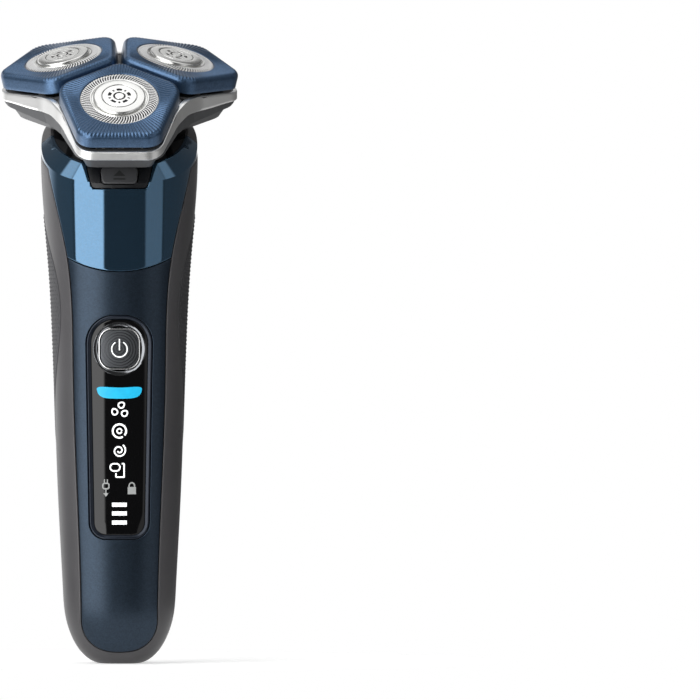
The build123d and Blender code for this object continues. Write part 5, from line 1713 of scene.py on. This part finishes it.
def turned_piece(name, profile, finish, steps=LATHE_STEPS):
    """Closed lathe piece from a profile of radius and height."""
    rings = [np.column_stack([circle_points(radius, steps), np.full(steps, height)])
             for radius, height in profile]
    return build_object(name, np.vstack(rings), ring_faces(len(rings), steps, closed_stack=True), finish, 40)


# %% [markdown]
# ## Bars between the slots
# What is left between two slots is a thin bar that leans to one side and bends down at the rim. One bar
# is a Bezier segment with a flat section, and the tree turns it round the middle as many times as asked.
# Cutting the slots out with booleans would give the same look, but much worse faces.

# %% Bars between the slots
SLOT_COUNT = 76
BAR_WIDTH = 0.33
BAR_DEPTH = 0.12
BAR_SLANT = 1.15
BAR_START = (8.1 * MM, 0, 0.08 * MM)
BAR_RISE = (9.6 * MM, 0.0, 0.10 * MM)


def bar_tree(finish):
    """Tree that makes one bent bar and turns it round the middle."""
    tree, given, keys = geometry_tree("cap_bars", Bar_count=60, Bar_width=0.0004, Bar_depth=0.0004,
                                      Slant=0.001)
    corner = add(tree, "ShaderNodeCombineXYZ", {"X": 10.62 * MM, "Y": given["Slant"], "Z": 0.25 * MM})
    end = add(tree, "ShaderNodeCombineXYZ", {"X": 10.58 * MM, "Y": given["Slant"], "Z": -0.42 * MM})
    path = add(tree, "GeometryNodeCurvePrimitiveBezierSegment", {
        "Resolution": 9, "Start": BAR_START, "Start Handle": BAR_RISE,
        "End Handle": corner.outputs["Vector"], "End": end.outputs["Vector"]}, mode="POSITION")
    upright = add(tree, "GeometryNodeSetCurveNormal", {"Curve": path.outputs["Curve"]}, mode="Z_UP")
    section = add(tree, "GeometryNodeCurvePrimitiveQuadrilateral",
                  {"Width": given["Bar width"], "Height": given["Bar depth"]})
    bent = add(tree, "GeometryNodeCurveToMesh", {
        "Curve": upright.outputs["Curve"], "Profile Curve": section.outputs["Curve"], "Fill Caps": True})
    spots = add(tree, "GeometryNodeMeshLine", {"Count": given["Bar count"], "Offset": (0, 0, 0)})
    number = add(tree, "GeometryNodeInputIndex")
    step = add(tree, "ShaderNodeMath", {0: 2 * math.pi, 1: given["Bar count"]}, operation="DIVIDE")
    turn = add(tree, "ShaderNodeMath", {0: number.outputs["Index"], 1: step.outputs[0]}, operation="MULTIPLY")
    rotation = add(tree, "ShaderNodeCombineXYZ", {"Z": turn.outputs[0]})
    placed = add(tree, "GeometryNodeInstanceOnPoints", {
        "Points": spots.outputs["Mesh"], "Instance": bent.outputs["Mesh"],
        "Rotation": rotation.outputs["Vector"]})
    end_tree(tree, placed.outputs["Instances"], finish)
    return tree, keys


bars = bar_tree(cap_steel)
for side in HEAD_SIDES:
    disc = turned_piece("cap_disc", CAP_PROFILE, cap_steel)
    rim = turned_piece("cap_rim", RIM_PROFILE, cap_steel)
    slots = run_tree(empty_object("cap_slots"), *bars, Bar_count=SLOT_COUNT, Bar_width=BAR_WIDTH * MM,
                     Bar_depth=BAR_DEPTH * MM, Slant=-BAR_SLANT * MM)
    cap = joined(f"slotted_cap_{side}_steel", [disc, rim, slots])
    settle(place_on_petal(cap, side), f"petal_{side}", [f"slotted_cap_{side}"])
    # black ring under the bars: painted shade for the slots
    shade_ring = turned_piece(f"slot_shade_ring_{side}", SLOT_SHADE_PROFILE, inner_plastic)
    settle(place_on_petal(shade_ring, side), f"petal_{side}")

# %% [markdown]
# ## Badges
# The badge is stamped sheet with five long and five short holes round a middle ring. A flat curve can
# hold all its holes at once, and extrude and bevel give it the thickness and the soft edge of a
# stamping. A dark seat shows through the holes.

# %% Badge in each cap
BADGE_RADIUS = 4.6
BADGE_HEIGHT = 0.86
BADGE_SHEET = 0.14
BADGE_BEVEL = 0.05
BADGE_OPENING = 1.75
BOSS_RADIUS = 1.2
HOLE_ORBIT = 2.75
HOLES = 5
SEAT_PROFILE = [(0.0, 0.60), (4.7, 0.60), (4.7, 0.70), (0.0, 0.70)]


def kidney_hole(angle, length, width, steps):
    """Hole along the orbit, bounded by two arcs."""
    span = length / HOLE_ORBIT
    outer = [(angle - span / 2 + span * i / 8, HOLE_ORBIT + width / 2) for i in range(9)]
    inner = [(angle + span / 2 - span * i / 8, HOLE_ORBIT - width / 2) for i in range(9)]
    corners = [(r * math.cos(a), r * math.sin(a)) for a, r in outer + inner]
    return evenly(corners, steps)


def stamped_sheet(name, loops, finish):
    """Flat curve with holes, extruded and bevelled, then made a mesh."""
    data = bpy.data.curves.new(name, "CURVE")
    data.dimensions = "2D"
    data.fill_mode = "BOTH"
    data.extrude = BADGE_SHEET / 2 * MM
    data.bevel_depth = BADGE_BEVEL * MM
    data.bevel_resolution = 1
    for loop in loops:
        spline = data.splines.new("POLY")
        spline.points.add(len(loop) - 1)
        spline.use_cyclic_u = True
        for point, (x, y) in zip(spline.points, loop):
            point.co = (x * MM, y * MM, 0, 1)
    carrier = bpy.data.objects.new(name, data)
    bpy.context.scene.collection.objects.link(carrier)
    seen = carrier.evaluated_get(bpy.context.evaluated_depsgraph_get())
    mesh = bpy.data.meshes.new_from_object(seen)
    bpy.data.objects.remove(carrier)
    mesh.materials.clear()
    mesh.materials.append(finish)
    made = bpy.data.objects.new(name, mesh)
    bpy.context.scene.collection.objects.link(made)
    return made


for side in HEAD_SIDES:
    holes = [circle_points(BADGE_RADIUS, 90), circle_points(BADGE_OPENING, 48)]
    for k in range(HOLES):
        turn = 2 * math.pi * k / HOLES
        holes.append(kidney_hole(math.pi + turn, 1.55, 0.95, 20))
        holes.append(kidney_hole(turn, 0.55, 0.8, 12))
    plate = stamped_sheet("badge_plate", holes, badge_steel)
    boss = stamped_sheet("badge_boss", [circle_points(BOSS_RADIUS, 48)], badge_steel)
    badge = joined(f"cap_badge_{side}_steel", [plate, boss])
    badge.data.transform(mathutils.Matrix.Translation((0, 0, BADGE_HEIGHT * MM)))
    settle(place_on_petal(badge, side), f"petal_{side}", [f"cap_badge_{side}"])
    seat = turned_piece(f"badge_seat_{side}", SEAT_PROFILE, inner_plastic, 64)
    settle(place_on_petal(seat, side), f"petal_{side}")

# %% [markdown]
# ## Outline of the head frame
# Under the petals a plated band runs round the head frame in one soft line, with wide fillets where two
# arms meet. Rounding the corners of a drawn outline would need the right radius everywhere; a smooth
# union of the three arms finds it by itself. The distance to each arm's outline is worked out, the three
# are blended, and the line where the blend is zero is traced from the middle.

# %% Outline of the head frame
ARM_GROW = 0.28
BLEND = 9.0
FRAME_PLANE = -12.0     # height at which the outline is drawn, in the head's own frame
FRAME_LIMITS = (6.0, 46.0)
BAND_DIRECTIONS = 540


arm_line = petal_outline(PETAL_CORNERS)
arm_angle = np.arctan2(arm_line[:, 1], arm_line[:, 0])
arm_order = np.argsort(arm_angle)
arm_angle, arm_radius = arm_angle[arm_order], np.hypot(arm_line[:, 0], arm_line[:, 1])[arm_order]
arm_tree = mathutils.kdtree.KDTree(len(arm_line))
for number, (x, y) in enumerate(arm_line):
    arm_tree.insert((x, y, 0), number)
arm_tree.balance()


def arm_distance(points, axis):
    """Signed distance of points in the frame's plane to one arm's outline."""
    c, s = math.cos(math.radians(axis)), math.sin(math.radians(axis))
    out = (points[:, 0] * c + points[:, 1] * s - FRAME_PLANE * math.tan(PETAL_TILT)) * math.cos(PETAL_TILT)
    aside = -points[:, 0] * s + points[:, 1] * c
    local = np.column_stack([out - RING_DISTANCE, aside])
    gap = np.array([arm_tree.find((x, y, 0))[2] for x, y in local])
    angle = np.arctan2(local[:, 1], local[:, 0])
    reach = np.interp(angle, arm_angle, arm_radius, period=2 * math.pi)
    inside = np.hypot(local[:, 0], local[:, 1]) < reach
    return np.where(inside, -gap, gap) - ARM_GROW


def soft_least(a, b, width):
    """Smallest of two values with a soft change-over."""
    mix = np.maximum(width - np.abs(a - b), 0) / width
    return np.minimum(a, b) - mix * mix * width / 4


def frame_line(shrink=0.0):
    """Blended outline of the three arms, shrunk by a distance, at even directions."""
    unit = circle_points(1.0, BAND_DIRECTIONS)

    def inside(reach):
        arms = [arm_distance(unit * reach[:, None], axis) for axis in HEAD_SIDES.values()]
        return soft_least(soft_least(arms[0], arms[1], BLEND), arms[2], BLEND) < -shrink

    return unit * turning_points(inside, *FRAME_LIMITS, BAND_DIRECTIONS, 16)[0][:, None]


# %% [markdown]
# ## Silver band and the dark wall under it
# The band follows the tilt of the petals above it, so its top edge rises and falls. It is narrow at the
# ends of the arms and wide in the corners between them. It could be swept along the outline, but a sweep
# keeps one section; rings of points with heights of their own don't. The dark wall below is made the
# same way and starts a little inside the band, which leaves a fine shadow line between the two.

# %% Silver band and the dark wall under it
BAND_TOP = -5.3
BAND_AT_ENDS = 2.7
BAND_AT_CORNERS = 4.6
BAND_CREST = 1.2        # softness of the top edge where two petals meet
BAND_WALL = 1.1
FRAME_BOTTOM = -17.2


def band_heights(line):
    """Top and bottom height of the silver band along its outline."""
    tops = []
    for axis in HEAD_SIDES.values():
        out = line @ (math.cos(math.radians(axis)), math.sin(math.radians(axis)))
        tops.append((BAND_TOP - out * math.sin(PETAL_TILT)) / math.cos(PETAL_TILT))
    top = soft_least(soft_least(tops[0], tops[1], BAND_CREST), tops[2], BAND_CREST)
    reach = np.hypot(line[:, 0], line[:, 1])
    share = np.clip((33.0 - reach) / 12.0, 0, 1)
    bottom = top - BAND_AT_ENDS - (BAND_AT_CORNERS - BAND_AT_ENDS) * share * share * (3 - 2 * share)
    return top, np.maximum(bottom, FRAME_BOTTOM + 0.02)


def wall_ring(name, rings, finish):
    """Closed ring-shaped wall from rows of head-plane points and heights."""
    points = np.vstack([from_head(np.column_stack([line, height])) for line, height in rings])
    return build_object(name, points, ring_faces(len(rings), BAND_DIRECTIONS, closed_stack=True), finish, 38)


outer_line = frame_line()
inner_line = frame_line(BAND_WALL)
band_top, band_bottom = band_heights(outer_line)


def inward(share):
    """Line between the band's outer face (0) and its inner face (1)."""
    return outer_line + (inner_line - outer_line) * share


rings = [(inner_line, band_bottom), (inward(0.18), band_bottom), (outer_line, band_bottom + 0.25)]
for share in (0.15, 0.5, 0.85):
    rings.append((outer_line, band_bottom + 0.25 + (band_top - band_bottom - 0.7) * share))
rings += [(outer_line, band_top - 0.4), (inward(0.09), band_top - 0.14), (inward(0.3), band_top),
          (inner_line, band_top)]
settle(wall_ring("silver_band_plated", rings, frame_silver), "frame")

foot = np.full(BAND_DIRECTIONS, FRAME_BOTTOM)
tucked = inward(0.45)
rings = [
    (inner_line, band_bottom + 0.3),
    (tucked, band_bottom + 0.3),
    (tucked, np.maximum(band_bottom - 0.05, foot + 0.01)),
    (frame_line(0.9), foot),
    (frame_line(1.6), foot),
]
settle(wall_ring("frame_lower_wall", rings, bowl_plastic), "frame")
print("band reaches", np.hypot(*outer_line.T).max().round(1), "mm from the head's middle")

# %% [markdown]
# ## Floor
# The shaver stands on a round sheet of white paper. Paper is never quite white in even light, so a little
# glow, which only what looks at the paper can see, lifts it to the white of the background. The object's
# own light stays the same, and its soft shadow stays on the paper. The sheet reaches further back than
# forward, so its far edge melts into the white behind it.

# %% Floor
FLOOR_GLOW = 0.45
FLOOR_RADIUS = 105.0
FLOOR_BACK = 35.0
FLOOR_POINTS = 180


def seamless_paper():
    """White paper: bright to the eye, with the object's soft shadow kept."""
    material, tree, shader, coords = new_finish("white paper sweep", Roughness=0.9)
    grain = add(tree, "ShaderNodeTexNoise", {"Vector": coords, "Scale": per_mm(6.0)})
    vary_colour(tree, shader, grain.outputs["Fac"], "#e4e4e4", "#ebebeb")
    rays = add(tree, "ShaderNodeLightPath").outputs
    direct = add(tree, "ShaderNodeMath", {0: rays["Is Camera Ray"], 1: rays["Is Glossy Ray"]},
                 operation="MAXIMUM")
    seen = add(tree, "ShaderNodeMath", {0: direct.outputs[0], 1: rays["Is Transmission Ray"]},
               operation="MAXIMUM")
    glow = add(tree, "ShaderNodeMath", {0: seen.outputs[0], 1: FLOOR_GLOW}, operation="MULTIPLY")
    shader.inputs["Emission Color"].default_value = (1, 1, 1, 1)
    tree.links.new(glow.outputs[0], shader.inputs["Emission Strength"])
    return material


rim = circle_points(FLOOR_RADIUS, FLOOR_POINTS) + (0.0, FLOOR_BACK)
floor = build_object("studio_floor", np.column_stack([rim, np.zeros(FLOOR_POINTS)]),
                     [tuple(range(FLOOR_POINTS))], seamless_paper())

# %% [markdown]
# ## Studio light
# A tall object is lit from the sides, so that long straight reflections run down it: a large soft box on
# the left, a weaker one on the right, and nothing bright straight ahead, which keeps the gloss deep. Two
# patches beside them light the sloping band round the collar. Low lights lift the bowl under the head, and
# a plain room and a ceiling light the back and the caps. Area lamps would do, but they have hard edges in
# a mirror. Here each light is a soft-edged patch of the world, given by its turn from the front and its
# height, in degrees, so it's as far away and as soft as can be.

# %% Studio light
FRONT_LEVEL = 0.08      # what comes from where no light is
EVERYWHERE = (-200.0, 200.0, 1.0)
# side that the turn is counted to; turn and height as from, to and softness; level
LIGHTS = [
    ("left", (13.0, 60.0, 1.5), (-50.0, 58.0, 4.0), 2.9),       # large soft box
    ("right", (27.0, 57.0, 2.0), (-32.0, 58.0, 4.0), 0.5),      # small soft box
    ("left", (61.0, 85.0, 3.0), (14.0, 56.0, 5.0), 1.8),        # upper lights for the sloping band
    ("right", (58.0, 78.0, 3.0), (14.0, 56.0, 5.0), 0.7),
    ("left", (64.0, 181.0, 4.0), EVERYWHERE, 0.12),             # walls beside the object
    ("right", (60.0, 181.0, 2.0), EVERYWHERE, 0.06),
    ("left", (55.0, 181.0, 10.0), (-80.0, -28.0, 8.0), 1.7),    # low lights for the bowl
    ("right", (55.0, 181.0, 10.0), (-80.0, -28.0, 8.0), 0.45),
    ("left", (118.0, 181.0, 18.0), (-91.0, 28.0, 6.0), 1.0),    # room behind the object
    ("right", (168.0, 181.0, 8.0), (-91.0, 28.0, 6.0), 1.0),
    ("left", (168.0, 181.0, 3.0), (28.0, 62.0, 6.0), 0.5),      # wall above it
    ("right", (168.0, 181.0, 3.0), (28.0, 62.0, 6.0), 0.5),
    ("left", EVERYWHERE, (62.0, 91.0, 6.0), 1.1),               # ceiling
]


def between(tree, value, low, high, soft):
    """1 while a value is between two limits, with soft edges."""
    rise = add(tree, "ShaderNodeMapRange", {"Value": value, "From Min": low - soft, "From Max": low + soft},
               interpolation_type="SMOOTHSTEP")
    fall = add(tree, "ShaderNodeMapRange", {"Value": value, "From Min": high - soft, "From Max": high + soft,
                                            "To Min": 1.0, "To Max": 0.0}, interpolation_type="SMOOTHSTEP")
    return add(tree, "ShaderNodeMath", {0: rise.outputs["Result"], 1: fall.outputs["Result"]},
               operation="MULTIPLY").outputs[0]


world = bpy.data.worlds.new("studio")
world.use_nodes = True
bpy.context.scene.world = world
tree = world.node_tree
tree.nodes.clear()
coords = add(tree, "ShaderNodeTexCoord")
way = add(tree, "ShaderNodeSeparateXYZ", {"Vector": coords.outputs["Generated"]})
ahead = add(tree, "ShaderNodeMath", {0: way.outputs["Y"], 1: -1.0}, operation="MULTIPLY")
turn = add(tree, "ShaderNodeMath", {0: way.outputs["X"], 1: ahead.outputs[0]}, operation="ARCTAN2")
climb = add(tree, "ShaderNodeMath", {0: way.outputs["Z"]}, operation="ARCSINE")
angles = {}
for name, angle, sign in (("right", turn, 1), ("left", turn, -1), ("up", climb, 1)):
    angles[name] = add(tree, "ShaderNodeMath", {0: angle.outputs[0], 1: sign * 180 / math.pi},
                       operation="MULTIPLY").outputs[0]
level = FRONT_LEVEL
for side, sweep, rise, strength in LIGHTS:
    across, upright = between(tree, angles[side], *sweep), between(tree, angles["up"], *rise)
    patch = add(tree, "ShaderNodeMath", {0: across, 1: upright}, operation="MULTIPLY")
    level = add(tree, "ShaderNodeMath", {0: patch.outputs[0], 1: strength, 2: level},
                operation="MULTIPLY_ADD").outputs[0]
rays = add(tree, "ShaderNodeLightPath").outputs
seen = add(tree, "ShaderNodeMath", {0: rays["Is Camera Ray"], 1: rays["Is Transmission Ray"]},
           operation="MAXIMUM")
light = add(tree, "ShaderNodeMix", {"Factor": seen.outputs[0], "A": level, "B": 1.0}, data_type="FLOAT")
shine = add(tree, "ShaderNodeBackground", {"Color": (1, 1, 1, 1), "Strength": light.outputs["Result"]})
add(tree, "ShaderNodeOutputWorld", {"Surface": shine.outputs["Background"]})
print("lights painted into the world:", len(LIGHTS))
